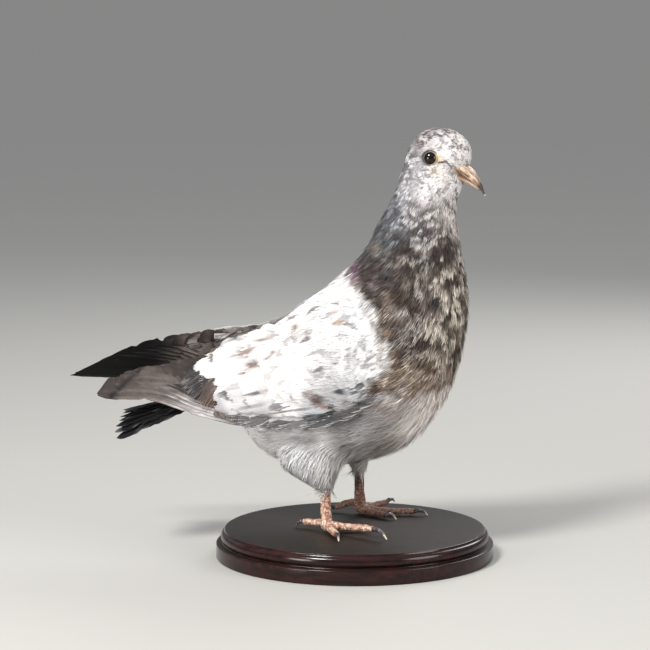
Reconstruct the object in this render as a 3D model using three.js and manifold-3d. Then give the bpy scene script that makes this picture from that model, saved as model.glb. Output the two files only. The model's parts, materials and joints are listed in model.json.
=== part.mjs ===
// A mounted pigeon that stands on a round turned wooden base, at life size, in millimetres.
// The bird faces +X, +Z is up, and the origin is the centre of the base's underside.
// The bird is built in its own frame: its middle plane is y = 0 and the top of the base is z = 0.
import * as THREE from "three";
import Module from "manifold-3d";
import { mergeVertices } from "three/addons/utils/BufferGeometryUtils.js";

const wasm = await Module();
wasm.setup();

// ---------------------------------------------------------------- driving dimensions, mm
const BASE_RADIUS = 100;
const BASE_HEIGHT = 20.5;
const LEDGE_HEIGHT = 10.5; // height of the plain lower plate
const TOP_RADIUS = 93.8; // flat top face
const BASE_SEGMENTS = 40;
const BIRD_SIDE_SHIFT = 13; // the bird stands a little behind the middle of the base
const GAP = 0.3; // clearance between neighbouring solids
const BODY_POINTS = 24; // points round a section of the body
const EYE_RADIUS = 5.8;
const EYE_PLACE = [56.5, 11.4, 266.4]; // forward, out to the side, up
const HEAD_TURN = THREE.MathUtils.degToRad(12); // the head looks a little to the right
const HEAD_RAISE = THREE.MathUtils.degToRad(2.5); // and the bill is lifted with it
const HEAD_PIVOT = new THREE.Vector3(50, 0, 258);
const RIGHT = -1; // the bird's right side is towards -Y
const LEFT = 1;

// ---------------------------------------------------------------- solids and booleans

// A geometry as a manifold-3d solid, turned round if its faces point in.
function solid(geometry) {
  const bare = new THREE.BufferGeometry().setAttribute("position", geometry.getAttribute("position"));
  if (geometry.index) bare.setIndex(geometry.index);
  const merged = mergeVertices(bare, 1e-3);
  const vertProperties = new Float32Array(merged.attributes.position.array);
  const triVerts = new Uint32Array(merged.index.array);
  const made = new wasm.Manifold(new wasm.Mesh({ numProp: 3, vertProperties, triVerts }));
  if (made.volume() > 0) return made;
  for (let i = 0; i < triVerts.length; i += 3)
    [triVerts[i + 1], triVerts[i + 2]] = [triVerts[i + 2], triVerts[i + 1]];
  return new wasm.Manifold(new wasm.Mesh({ numProp: 3, vertProperties, triVerts }));
}

function geometryOf(made) {
  const mesh = made.getMesh();
  const positions = new Float32Array(mesh.numVert * 3);
  for (let i = 0; i < mesh.numVert; i++)
    positions.set(mesh.vertProperties.subarray(i * mesh.numProp, i * mesh.numProp + 3), i * 3);
  return new THREE.BufferGeometry()
    .setAttribute("position", new THREE.BufferAttribute(positions, 3))
    .setIndex(new THREE.BufferAttribute(mesh.triVerts, 1));
}

// The largest of the separate bodies, which drops the crumbs a cut may leave.
function largest(made) {
  return made.decompose().reduce((a, b) => (a.volume() > b.volume() ? a : b));
}

function joined(solids) {
  return solids.reduce((a, b) => a.add(b));
}

// A closed skin through rings of points, all of one count, with a fan of faces over each end.
function loft(rings) {
  const count = rings[0].length;
  const positions = rings.flat().flatMap((p) => [p.x, p.y, p.z]);
  const index = [];
  for (let r = 0; r + 1 < rings.length; r++)
    for (let i = 0; i < count; i++) {
      const a = r * count + i;
      const b = r * count + ((i + 1) % count);
      index.push(a, b, a + count, b, b + count, a + count);
    }
  const cap = (ring, first, turned) => {
    const middle = ring.reduce((sum, p) => sum.add(p), new THREE.Vector3()).divideScalar(count);
    const centre = positions.push(middle.x, middle.y, middle.z) / 3 - 1;
    for (let i = 0; i < count; i++) {
      const edge = [first + i, first + ((i + 1) % count)];
      if (turned) edge.reverse();
      index.push(centre, edge[1], edge[0]);
    }
  };
  cap(rings[0], 0, false);
  cap(rings.at(-1), (rings.length - 1) * count, true);
  return new THREE.BufferGeometry()
    .setAttribute("position", new THREE.BufferAttribute(new Float32Array(positions), 3))
    .setIndex(index);
}

// Stations are rows of numbers along a form. This gives `steps` rows for each span, smoothly in between.
function smoothRows(rows, steps) {
  const spans = rows.length - 1;
  const columns = rows[0].map(
    (_, c) => new THREE.SplineCurve(rows.map((row, i) => new THREE.Vector2(i, row[c]))),
  );
  return Array.from({ length: spans * steps + 1 }, (_, i) =>
    columns.map((curve) => curve.getPoint(i / (spans * steps)).y),
  );
}

// A round tube along a smooth curve, with a radius at each of its given points and flattened ends.
function tube(points, radii, sides, grow = 0) {
  const curve = new THREE.CatmullRomCurve3(points);
  const count = points.length - 1;
  let normal = new THREE.Vector3(0, 1, 0);
  const rings = [];
  for (let i = 0; i <= count; i++) {
    const t = i / count;
    const tangent = curve.getTangent(t);
    normal = normal.clone().projectOnPlane(tangent).normalize();
    const across = new THREE.Vector3().crossVectors(tangent, normal);
    const end = i === 0 ? -grow : i === count ? grow : 0;
    const centre = curve.getPoint(t).addScaledVector(tangent, end);
    rings.push(
      Array.from({ length: sides }, (_, s) => {
        const turn = (2 * Math.PI * s) / sides;
        return centre
          .clone()
          .addScaledVector(normal, (radii[i] + grow) * Math.cos(turn))
          .addScaledVector(across, (radii[i] + grow) * Math.sin(turn));
      }),
    );
  }
  return solid(loft(rings));
}

// A point given by how far forward, how far out to the side and how high it is.
function at(side, [x, out, z]) {
  return new THREE.Vector3(x, side * out, z);
}

// ---------------------------------------------------------------- body: trunk, neck and head in one

// Each row is a section: its lowest or foremost point (x, z), its uppermost or rearmost point (x, z),
// its half width, and how much narrower it is towards the front than towards the back.
const BODY_SECTIONS = [
  [-93, 84, -97, 104, 12, 0], // root of the tail
  [-80, 67, -87, 118, 24, 0],
  [-62, 47.5, -71, 133, 33.5, -0.05],
  [-22, 41.5, -54, 149, 41, -0.1],
  [14, 47.2, -39.5, 161, 45, -0.12],
  [38, 57.5, -25, 171.4, 46.5, -0.12],
  [57, 77.5, -10.6, 183, 46, -0.1],
  [70, 102, 0.8, 194.2, 42.5, -0.06],
  [77.5, 128, 9, 205.6, 37, -0.02], // base of the neck
  [81, 156, 12.8, 216, 31, 0],
  [79, 178, 17.4, 225, 26, 0],
  [74, 202, 22.4, 235, 21.6, 0],
  [70.5, 221, 26.6, 244, 18.5, 0],
  [71.5, 234, 29.8, 253, 17, 0.04], // throat and nape
  [75.5, 243, 32.2, 259.4, 16.2, 0.12],
  [80, 252.5, 34.4, 266.2, 15.6, 0.2],
  [84, 263.4, 37.2, 272.8, 15, 0.2],
  [83, 274, 41, 280, 13.2, 0.16],
  [77.4, 281.6, 47.4, 284.8, 9.8, 0.1],
  [68.6, 286.4, 55.6, 287.6, 4.6, 0], // crown
];
const NECK_BASE = 8; // rows at which the body is parted
const NECK_TOP = 13;
const BODY_STEPS = 2;

// A point of the head where it comes to lie once the head is turned, in full or by a share of it.
function turnedHead(point, share = 1) {
  return point
    .clone()
    .sub(HEAD_PIVOT)
    .applyAxisAngle(new THREE.Vector3(0, 1, 0), -HEAD_RAISE * share)
    .applyAxisAngle(new THREE.Vector3(0, 0, 1), -HEAD_TURN * share)
    .add(HEAD_PIVOT);
}

function bodyRings() {
  return smoothRows(BODY_SECTIONS, BODY_STEPS).map(([fx, fz, bx, bz, half, taper], row) => {
    const share = THREE.MathUtils.smoothstep(row / BODY_STEPS, NECK_BASE, NECK_TOP);
    const front = new THREE.Vector3(fx, 0, fz);
    const back = new THREE.Vector3(bx, 0, bz);
    const centre = front.clone().lerp(back, 0.5);
    const reach = front.clone().sub(centre);
    return Array.from({ length: BODY_POINTS }, (_, i) => {
      const turn = (2 * Math.PI * i) / BODY_POINTS;
      const across = half * Math.sin(turn) * (1 - taper * Math.cos(turn));
      const point = centre.clone().addScaledVector(reach, Math.cos(turn));
      return turnedHead(point.setY(across), share);
    });
  });
}

// A huge box whose near face is the plane of a body section, moved along the body by `shift`.
function beyondSection(row, shift, upwards) {
  const [fx, fz, bx, bz] = BODY_SECTIONS[row];
  const share = row === NECK_TOP ? 1 : 0;
  const front = turnedHead(new THREE.Vector3(fx, 0, fz), share);
  const back = turnedHead(new THREE.Vector3(bx, 0, bz), share);
  const sideways = turnedHead(new THREE.Vector3(0, 1, 0).add(HEAD_PIVOT), share).sub(HEAD_PIVOT);
  const normal = front.clone().sub(back).cross(sideways).normalize();
  if (normal.z < 0) normal.negate();
  const size = 600;
  const direction = upwards ? 1 : -1;
  const box = new THREE.BoxGeometry(size, size, size);
  box.applyQuaternion(new THREE.Quaternion().setFromUnitVectors(new THREE.Vector3(0, 0, 1), normal));
  const place = front.lerp(back, 0.5).addScaledVector(normal, shift + (direction * size) / 2);
  box.translate(place.x, place.y, place.z);
  return solid(box);
}

// ---------------------------------------------------------------- wings

// Each row is a section of a folded wing: its lower edge (x, out from the middle plane, z), its upper
// edge (x, out, z), how far its outer face bulges, and its thickness in the middle.
// Both wings share the arm, and the long feathers of the left hand lie higher and reach further back.
const ARM_SECTIONS = [
  [24, 40, 124, 21, 37, 144, 2, 6], // bend of the wing, under the breast feathers
  [14, 44.5, 108, 9, 35, 161.5, 6, 11],
  [-2, 45.5, 89, -12, 30, 166, 11, 14],
  [-28, 45.5, 76, -33, 26, 159, 13.5, 16],
];
const WING_SECTIONS = {
  [RIGHT]: [
    ...ARM_SECTIONS,
    [-57, 41, 74, -57, 21, 147, 12, 13],
    [-82, 36, 76, -80, 17, 138, 9, 10],
    [-104, 30, 80, -101, 15, 128.5, 6, 7],
    [-121, 27, 83, -118, 15, 120, 4, 5], // the long feathers of the hand begin here
    [-140, 24, 89.5, -138, 15, 115, 2.5, 4],
    [-160, 21, 94.5, -158, 15, 108.5, 1.5, 3.2],
    [-176, 19, 95, -175, 15, 107, 1, 2.6],
    [-188.5, 17.5, 92, -187.5, 15, 97.5, 0.5, 2],
  ],
  [LEFT]: [
    ...ARM_SECTIONS,
    [-59, 42, 75, -60, 23, 145, 12, 13],
    [-86, 38, 79, -85, 20, 139.5, 9, 10],
    [-111, 34, 85, -109, 20, 137.5, 6, 7],
    [-132, 32, 92, -130, 22, 131.5, 4, 5],
    [-154, 30, 98, -153, 23, 127.5, 2.5, 4],
    [-178, 28, 102, -177, 24, 121, 1.5, 3.2],
    [-200, 27, 101, -199, 25, 111.5, 1, 2.6],
    [-216.5, 27, 100.5, -216, 26, 103.5, 0.5, 2],
  ],
};
const HAND_START = 6;
const WING_EDGE = 1.2; // thickness of a wing at its edges
const WING_POINTS = 7; // points along each face of a section

function wingRings(side, grow) {
  return smoothRows(WING_SECTIONS[side], 2).map(([lx, lo, lz, ux, uo, uz, bulge, thick]) => {
    const low = at(side, [lx, lo, lz]);
    const high = at(side, [ux, uo, uz]);
    const chord = high.clone().sub(low);
    const outward = new THREE.Vector3(1, 0, 0).cross(chord).normalize();
    if (outward.y * side < 0) outward.negate();
    low.addScaledVector(chord.clone().normalize(), -grow);
    high.addScaledVector(chord.clone().normalize(), grow);
    const face = (inner) =>
      Array.from({ length: WING_POINTS }, (_, k) => {
        const share = k / (WING_POINTS - 1);
        const hump = Math.sin(Math.PI * share);
        const depth = WING_EDGE / 2 + ((thick - WING_EDGE) / 2) * hump + grow;
        const middle = (bulge - thick / 2) * hump;
        return low
          .clone()
          .lerp(high, share)
          .addScaledVector(outward, middle + (inner ? -depth : depth));
      });
    return [...face(false), ...face(true).reverse()];
  });
}

function wing(side, grow = 0) {
  return solid(loft(wingRings(side, grow)));
}

// The wing before and behind a slanting cut where the long feathers of the hand come out.
function partedWing(side) {
  const whole = wing(side);
  const [lx, , , ux] = WING_SECTIONS[side][HAND_START];
  const size = 500;
  const cutX = (lx + ux) / 2;
  const behind = (gap) => {
    const box = new THREE.BoxGeometry(size, size, size);
    return solid(box.translate(cutX - gap - size / 2, 0, 0));
  };
  return { arm: largest(whole.subtract(behind(0))), hand: largest(whole.intersect(behind(GAP))) };
}

// ---------------------------------------------------------------- tail

const TAIL_ROOT = [-78, 0, 103];
const TAIL_TIP = [-177, 0, 76];
const TAIL_SECTIONS = [
  // half width, thickness in the middle, drop of the edges
  [9, 10, 3],
  [15, 8, 5],
  [20, 5, 7],
  [24, 3.5, 8],
  [26, 2.6, 8],
];
const TAIL_ROLL = THREE.MathUtils.degToRad(14); // the right edge hangs lower than the left one
const TAIL_POINTS = 7;

function tail(grow = 0) {
  const rows = smoothRows(TAIL_SECTIONS, 2);
  const rings = rows.map(([half, thick, drop], i) => {
    const along = i / (rows.length - 1);
    const centre = new THREE.Vector3(...TAIL_ROOT).lerp(new THREE.Vector3(...TAIL_TIP), along);
    const face = (sign) =>
      Array.from({ length: TAIL_POINTS }, (_, k) => {
        const share = -1 + (2 * k) / (TAIL_POINTS - 1);
        const depth = (thick / 2) * Math.sqrt(1.08 - share * share) + grow;
        const roll = TAIL_ROLL * along;
        const y = share * (half + grow);
        const z = -drop * share * share + sign * depth;
        return new THREE.Vector3(
          centre.x,
          y * Math.cos(roll) - z * Math.sin(roll),
          centre.z + y * Math.sin(roll) + z * Math.cos(roll),
        );
      });
    return [...face(1), ...face(-1).reverse()];
  });
  return solid(loft(rings));
}

// ---------------------------------------------------------------- legs, feet and claws

// A thigh is a feathered cone down to the bare shank. Rows: x, out, z, half length (x), half width (y).
const THIGHS = {
  [RIGHT]: [
    [-26, 20, 70, 28, 14],
    [-27.5, 22, 58, 26, 15],
    [-30.5, 24, 47, 23.5, 13],
    [-26.4, 25, 38, 15, 10],
    [-19.4, 25.8, 29, 6, 6],
  ],
  [LEFT]: [
    [-12, 20, 70, 24, 14],
    [-8, 22, 58, 18, 14],
    [-3, 24.5, 48, 12, 11],
    [-0.8, 26.5, 40, 7.5, 7.5],
    [-0.4, 28, 32, 5.4, 5.4],
  ],
};
const THIGH_POINTS = 12;

function thigh(side, grow = 0) {
  const rings = smoothRows(THIGHS[side], 2).map(([x, out, z, halfX, halfY], i, all) =>
    Array.from({ length: THIGH_POINTS }, (_, k) => {
      const turn = (2 * Math.PI * k) / THIGH_POINTS;
      const end = i === 0 ? grow : i === all.length - 1 ? -grow : 0;
      return new THREE.Vector3(
        x + (halfX + grow) * Math.cos(turn),
        side * out + (halfY + grow) * Math.sin(turn),
        z + end,
      );
    }),
  );
  return solid(loft(rings));
}

// The bare shank and the four toes of each foot: points (x, out, z) and radii. The last toe point
// is where the claw begins, and `tip` is the point of that claw.
const SHANK_RADII = [3.3, 3.5, 3.8, 4.3];
const TOE_RADII = [3.1, 2.7, 2.6, 2.3];
const FEET = {
  [RIGHT]: {
    shank: [[-19.4, 25.4, 40], [-19.6, 26, 28], [-19.6, 27.6, 15], [-18.6, 28.8, 6]],
    toes: {
      middle: {
        points: [[-16, 31, 5], [-5, 37.6, 5], [7, 44.4, 6.2], [16.5, 50, 6.6]],
        tip: [26.8, 60, 1.4],
      },
      outer: {
        points: [[-17.4, 31, 5], [-14.6, 41.5, 3.8], [-11.4, 49.5, 3.4], [-8.8, 56, 3.2]],
        tip: [-6.6, 65.5, 0.5],
      },
      inner: {
        points: [[-16, 29.5, 4.6], [-8, 29, 3.5], [0, 28.6, 3.2], [6.5, 28.4, 3]],
        tip: [15, 28.4, 0.4],
      },
      hind: {
        points: [[-19, 28.2, 6.4], [-26, 23.6, 5], [-32, 19.6, 4.4], [-37, 17.6, 4]],
        tip: [-42, 17.4, 0.6],
      },
    },
  },
  [LEFT]: {
    shank: [[-0.6, 27.4, 42], [-0.4, 28.6, 32], [-0.6, 33, 17], [-0.2, 35.4, 7]],
    toes: {
      middle: {
        points: [[1, 34.4, 5], [15, 31.6, 3.6], [28, 32, 3.2], [40, 33.6, 3]],
        tip: [50, 32.6, 0.6],
      },
      outer: {
        points: [[1, 36, 5.4], [8, 39, 5.4], [13.6, 42, 6.2], [18.4, 44.6, 7.4]],
        tip: [24.6, 49.6, 7],
      },
      inner: {
        points: [[1, 33, 5], [8, 27, 3.6], [14.6, 21.6, 3.3], [20, 18, 3]],
        tip: [28, 15.4, 0.5],
      },
      hind: {
        points: [[-0.4, 36.4, 8.4], [-8, 40.6, 7.6], [-14, 41.6, 5.6], [-19.4, 40.6, 3.4]],
        tip: [-27.5, 39.6, 0.4],
      },
    },
  },
};
const CLAW_RADII = [1.75, 1.5, 1, 0.35];
const CLAW_ARCH = 3.4; // how far a claw rises above the straight line to its tip

function clawPath(side, { points, tip }) {
  const root = at(side, points.at(-1));
  const point = at(side, tip);
  const near = root.clone().lerp(point, 0.35).add(new THREE.Vector3(0, 0, CLAW_ARCH * 0.55));
  const far = root.clone().lerp(point, 0.75).add(new THREE.Vector3(0, 0, CLAW_ARCH * 0.6));
  return [root, near, far, point];
}

function shank(side, grow = 0) {
  const points = FEET[side].shank.map((p) => at(side, p));
  return tube(points, SHANK_RADII, 10, grow);
}

function foot(side) {
  const bones = [shank(side)];
  for (const toe of Object.values(FEET[side].toes))
    bones.push(tube(toe.points.map((p) => at(side, p)), TOE_RADII, 8));
  const pad = new THREE.SphereGeometry(4.7, 10, 6).scale(1.15, 1.15, 0.9);
  const [x, out] = FEET[side].shank.at(-1);
  pad.translate(x + 0.5, side * (out + 0.8), 4.5);
  return joined([...bones, solid(pad)]);
}

function claw(side, toe, grow = 0) {
  return tube(clawPath(side, toe), CLAW_RADII, 6, grow);
}

// ---------------------------------------------------------------- bill and eyes

// Each row is a section of a half of the bill: upper point (x, z), lower point (x, z) and half width.
const UPPER_BILL = [
  [76.5, 262, 72.5, 254.8, 6],
  [81, 259.6, 77.3, 252.3, 5.6],
  [84.5, 256.3, 80.8, 249.7, 4.6],
  [87.2, 252.3, 84.3, 247, 3.6],
  [89.4, 248.2, 87.3, 244.2, 2.7],
  [91, 244.2, 89.6, 241.9, 1.7],
  [92.6, 239.8, 92, 239.4, 0.5],
];
const LOWER_BILL = [
  [71.6, 254.2, 70.2, 251.3, 5],
  [76.9, 251.7, 75.8, 249.2, 4.7],
  [80.4, 249.1, 79.4, 247, 3.9],
  [83.9, 246.4, 83, 244.7, 3],
  [86.9, 243.7, 86.2, 242.5, 2.1],
  [89.1, 241.7, 88.7, 240.9, 1],
];
const BILL_POINTS = 10;

function bill(rows, grow = 0) {
  const rings = smoothRows(rows, 2).map(([ux, uz, lx, lz, half]) => {
    const centre = new THREE.Vector3((ux + lx) / 2, 0, (uz + lz) / 2);
    const up = new THREE.Vector3((ux - lx) / 2, 0, (uz - lz) / 2);
    up.setLength(up.length() + grow);
    return Array.from({ length: BILL_POINTS }, (_, i) => {
      const turn = (2 * Math.PI * (i + 0.5)) / BILL_POINTS;
      const point = centre.clone().addScaledVector(up, Math.cos(turn));
      return turnedHead(point.setY((half + grow) * Math.sin(turn)));
    });
  });
  return solid(loft(rings));
}

function eye(side, grow = 0) {
  const ball = new THREE.SphereGeometry(EYE_RADIUS + grow, 12, 8);
  return solid(ball.translate(...turnedHead(at(side, EYE_PLACE))));
}

// ---------------------------------------------------------------- base

function base() {
  const profile = [
    [0, 0],
    [BASE_RADIUS - 0.8, 0],
    [BASE_RADIUS, 0.8],
    [BASE_RADIUS, LEDGE_HEIGHT - 0.6],
    [BASE_RADIUS - 0.6, LEDGE_HEIGHT],
    [BASE_RADIUS - 4.4, LEDGE_HEIGHT],
  ];
  // a half round bead under a small square edge
  const bead = { radius: TOP_RADIUS + 0.6, z: LEDGE_HEIGHT + 4.4, height: 3.4, swell: 2.2 };
  for (let i = 0; i <= 5; i++) {
    const turn = -Math.PI / 2 + (Math.PI * i) / 5;
    profile.push([bead.radius + bead.swell * Math.cos(turn), bead.z + bead.height * Math.sin(turn)]);
  }
  profile.push([TOP_RADIUS, BASE_HEIGHT - 1.4], [TOP_RADIUS - 0.2, BASE_HEIGHT], [0, BASE_HEIGHT]);
  const turned = new THREE.LatheGeometry(
    profile.map(([r, z]) => new THREE.Vector2(r, z)),
    BASE_SEGMENTS,
  );
  return solid(turned.rotateX(Math.PI / 2));
}

// ---------------------------------------------------------------- materials and assembly

const paint = (color, roughness) => new THREE.MeshStandardMaterial({ color, roughness });
const MATERIALS = {
  wood: paint(0x2a1713, 0.3),
  speckled: paint(0x8d8581, 0.85),
  mottled: paint(0x5f5651, 0.85),
  white: paint(0xe9e6e1, 0.85),
  dark: paint(0x2b2624, 0.6),
  skin: paint(0xc9a48f, 0.6),
  claw: paint(0x4a4346, 0.35),
  horn: paint(0xb98a63, 0.4),
  glass: paint(0x0a0706, 0.05),
};

const sculpture = new THREE.Group();
const bird = new THREE.Group();
bird.position.set(0, BIRD_SIDE_SHIFT, BASE_HEIGHT);
sculpture.add(bird);

function add(parent, name, made, material) {
  const mesh = new THREE.Mesh(geometryOf(made), material);
  mesh.name = name;
  parent.add(mesh);
}

const sides = { right: RIGHT, left: LEFT };
const whole = solid(loft(bodyRings()));
const half = GAP / 2;
const trunkCuts = Object.values(sides).flatMap((side) => [wing(side, GAP), thigh(side, GAP)]);
const trunk = whole
  .intersect(beyondSection(NECK_BASE, -half, false))
  .subtract(joined([...trunkCuts, tail(GAP)]));
const neck = whole
  .intersect(beyondSection(NECK_BASE, half, true))
  .intersect(beyondSection(NECK_TOP, -half, false));
const headCuts = joined([bill(UPPER_BILL, GAP), bill(LOWER_BILL, GAP), eye(RIGHT, GAP), eye(LEFT, GAP)]);
const head = whole.intersect(beyondSection(NECK_TOP, half, true)).subtract(headCuts);

add(sculpture, "base", base(), MATERIALS.wood);
add(bird, "trunk", largest(trunk), MATERIALS.mottled);
add(bird, "neck", largest(neck), MATERIALS.speckled);
add(bird, "head", largest(head), MATERIALS.speckled);
add(bird, "tail", tail(), MATERIALS.dark);
add(bird, "bill_upper", bill(UPPER_BILL), MATERIALS.horn);
add(bird, "bill_lower", bill(LOWER_BILL).subtract(bill(UPPER_BILL, GAP)), MATERIALS.horn);
for (const [name, side] of Object.entries(sides)) {
  const { arm, hand } = partedWing(side);
  add(bird, `wing_${name}`, arm.subtract(thigh(side, GAP)), MATERIALS.white);
  add(bird, `primaries_${name}`, hand, MATERIALS.dark);
  add(bird, `eye_${name}`, eye(side), MATERIALS.glass);
  const claws = Object.entries(FEET[side].toes);
  const clawRoots = joined(claws.map(([, toe]) => claw(side, toe, GAP)));
  add(bird, `thigh_${name}`, thigh(side).subtract(shank(side, GAP)), MATERIALS.white);
  add(bird, `foot_${name}`, largest(foot(side).subtract(clawRoots)), MATERIALS.skin);
  for (const [toe, shape] of claws) add(bird, `claw_${name}_${toe}`, claw(side, shape), MATERIALS.claw);
}

export default sculpture;
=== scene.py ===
"""The looks of a mounted pigeon on its round wooden base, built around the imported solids.

Blender objects are in metres in the row frame. The bird is worked out in millimetres in a frame of its
own: +X forward, +Y left, +Z up, with its middle plane at y = 0 and the top of the base at z = 0.
"""
import json
import math
from collections import namedtuple

import bpy
import numpy as np
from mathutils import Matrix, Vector
from mathutils.bvhtree import BVHTree
from mathutils.kdtree import KDTree

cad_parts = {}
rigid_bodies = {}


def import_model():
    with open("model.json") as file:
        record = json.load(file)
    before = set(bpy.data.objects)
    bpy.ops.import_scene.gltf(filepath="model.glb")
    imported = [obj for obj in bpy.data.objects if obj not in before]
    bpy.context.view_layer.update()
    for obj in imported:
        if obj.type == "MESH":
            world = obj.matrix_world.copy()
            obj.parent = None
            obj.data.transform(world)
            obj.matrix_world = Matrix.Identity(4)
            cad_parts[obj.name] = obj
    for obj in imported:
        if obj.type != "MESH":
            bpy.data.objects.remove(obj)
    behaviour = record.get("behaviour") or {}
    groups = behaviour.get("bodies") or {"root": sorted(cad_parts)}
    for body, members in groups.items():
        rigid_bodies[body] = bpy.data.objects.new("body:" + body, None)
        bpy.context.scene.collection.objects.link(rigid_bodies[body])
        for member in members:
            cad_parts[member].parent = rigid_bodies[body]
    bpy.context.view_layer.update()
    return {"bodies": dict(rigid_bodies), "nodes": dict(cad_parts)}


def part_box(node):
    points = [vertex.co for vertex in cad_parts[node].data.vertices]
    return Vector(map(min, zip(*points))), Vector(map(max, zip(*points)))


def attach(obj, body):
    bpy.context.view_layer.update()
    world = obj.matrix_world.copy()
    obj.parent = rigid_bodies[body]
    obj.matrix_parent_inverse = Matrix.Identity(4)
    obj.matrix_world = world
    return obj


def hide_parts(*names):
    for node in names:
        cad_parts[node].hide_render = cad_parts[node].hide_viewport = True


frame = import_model()

MM = 0.001
RIGHT, LEFT = -1, 1
SIDES = {"right": RIGHT, "left": LEFT}
BODY = next(iter(frame["bodies"]))

base_low, base_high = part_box("base")
trunk_low, trunk_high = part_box("trunk")
BASE_RADIUS = (base_high.x - base_low.x) / 2 / MM
BASE_HEIGHT = base_high.z / MM
MIDDLE_Y = (trunk_low.y + trunk_high.y) / 2 / MM
BIRD_ORIGIN = np.array([0.0, MIDDLE_Y, BASE_HEIGHT])

eye_middle = {side: (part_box("eye_" + side)[0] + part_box("eye_" + side)[1]) / 2 for side in SIDES}
eye_line = eye_middle["left"] - eye_middle["right"]
HEAD_TURN = -math.atan2(eye_line.x, eye_line.y)
HEAD_PIVOT = np.array([50.0, 0.0, 258.0])
BRIGHTEST = 252  # display level of the whitest feathers

rng = np.random.default_rng(7)


# ------------------------------------------------------------------ small helpers


def linear(levels):
    """Linear colours from 0-255 display levels."""
    part = np.asarray(levels, float) / 255
    return np.where(part <= 0.04045, part / 12.92, ((part + 0.055) / 1.055) ** 2.4)


def unit(vectors):
    length = np.linalg.norm(vectors, axis=-1, keepdims=True)
    return vectors / np.maximum(length, 1e-9)


def smoothstep(low, high, value):
    part = np.clip((value - low) / (high - low), 0, 1)
    return part * part * (3 - 2 * part)


def bell(value, middle, width):
    return np.exp(-(((value - middle) / width) ** 2))


def mix(a, b, share):
    share = np.asarray(share)[..., None]
    return np.asarray(a) * (1 - share) + np.asarray(b) * share


def layered(colours, *layers):
    """The colours with others laid over them in turn, each of which comes with its share at every point."""
    for colour, share in layers:
        colours = mix(colours, colour, share)
    return colours


def noise(points, size, seed):
    """Smooth noise from 0 to 1 at each point. `size` is a blob's width, one number or one for each axis."""
    grid = np.asarray(points, float) / size + 1000 + 17.3 * seed
    cell = np.floor(grid).astype(np.int64)
    part = grid - cell
    part = part * part * (3 - 2 * part)
    total = np.zeros(grid.shape[:-1])
    for corner in np.ndindex(2, 2, 2):
        key = ((cell + corner) * (73856093, 19349663, 83492791)).sum(-1) & 0xFFFFFFFF
        key = ((key ^ (key >> 15)) * 2246822519) & 0xFFFFFFFF
        key = ((key ^ (key >> 13)) * 3266489917) & 0xFFFFFFFF
        weight = np.where(corner, part, 1 - part).prod(-1)
        total += weight * ((key ^ (key >> 16)) & 0xFFFFFFFF) / 2**32
    return total


def evened(values, times):
    """A row of values, each of them evened out with its neighbours, apart from the two ends."""
    values = np.array(values)
    for _ in range(times):
        values[1:-1] = (values[:-2] + 2 * values[1:-1] + values[2:]) / 4
    return values


def to_bird(points):
    return np.asarray(points, float) / MM - BIRD_ORIGIN


def node_mesh(name):
    """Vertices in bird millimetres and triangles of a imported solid."""
    mesh = frame["nodes"][name].data
    mesh.calc_loop_triangles()
    points = np.empty(len(mesh.vertices) * 3)
    mesh.vertices.foreach_get("co", points)
    faces = np.empty(len(mesh.loop_triangles) * 3, int)
    mesh.loop_triangles.foreach_get("vertices", faces)
    return to_bird(points.reshape(-1, 3)), faces.reshape(-1, 3)


def tree_of(points, faces):
    """A surface, ready to be asked for its nearest place or for where a line meets it."""
    return BVHTree.FromPolygons(points.tolist(), faces.tolist())


def add_piece(name, points, faces, material, replaced=(), levels=None, maps=None):
    """A mesh object from points in bird millimetres and faces of one size, as a piece that rides on the body.

    `levels` is a display colour for each point. The materials read it as the attribute `marking`.
    """
    points = (np.asarray(points, float).reshape(-1, 3) + BIRD_ORIGIN) * MM
    faces = np.asarray(faces, int)
    mesh = bpy.data.meshes.new(name)
    mesh.vertices.add(len(points))
    mesh.vertices.foreach_set("co", points.ravel())
    mesh.loops.add(faces.size)
    mesh.loops.foreach_set("vertex_index", faces.ravel())
    mesh.polygons.add(len(faces))
    mesh.polygons.foreach_set("loop_start", np.arange(0, faces.size, faces.shape[1]))
    mesh.polygons.foreach_set("use_smooth", np.ones(len(faces), bool))
    if levels is not None:
        colours = linear(np.clip(levels, 0, BRIGHTEST)).reshape(-1, 3)
        layer = mesh.color_attributes.new("marking", "FLOAT_COLOR", "POINT")
        layer.data.foreach_set("color", np.column_stack([colours, np.ones(len(colours))]).ravel())
    for map_name, places in (maps or {}).items():
        layer = mesh.uv_layers.new(name=map_name)
        layer.data.foreach_set("uv", places.reshape(-1, 2)[faces.ravel()].ravel())
    mesh.materials.append(material)
    mesh.update()
    mesh.validate()
    piece = bpy.data.objects.new(name, mesh)
    bpy.context.scene.collection.objects.link(piece)
    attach(piece, BODY)
    if replaced:
        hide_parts(*replaced)


# ------------------------------------------------------------------ camera, light and stage

CAMERA_DISTANCE = 1800.0
CAMERA_AZIMUTH = math.radians(5)
CAMERA_ELEVATION = math.radians(11.75)
CAMERA_AIM = (-23.7, 21.8, 164.6)  # row frame, mm
CAMERA_LENS = 137.6

FLOOR_HALF = 6.0
LIGHT_AIM = Vector((0, 0, 0.16))
# Each light: its place and breadth in metres, its power and colour.
LIGHTS = {
    "key": ((-0.7, -1.1, 1.45), 0.45, 38, (1.0, 0.985, 0.96)),
    "front": ((-1.1, -1.3, 0.3), 0.6, 12, (1.0, 0.985, 0.96)),
    "fill": ((1.3, -0.6, 0.5), 0.8, 10, (1.0, 0.97, 0.93)),
    "back": ((0.5, 1.2, 1.0), 0.8, 9, (1.0, 1.0, 1.0)),
}
EYE_LEVEL_SKY, OVERHEAD_SKY = (0.239, 0.242, 0.238), (0.56, 0.58, 0.61)


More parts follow.
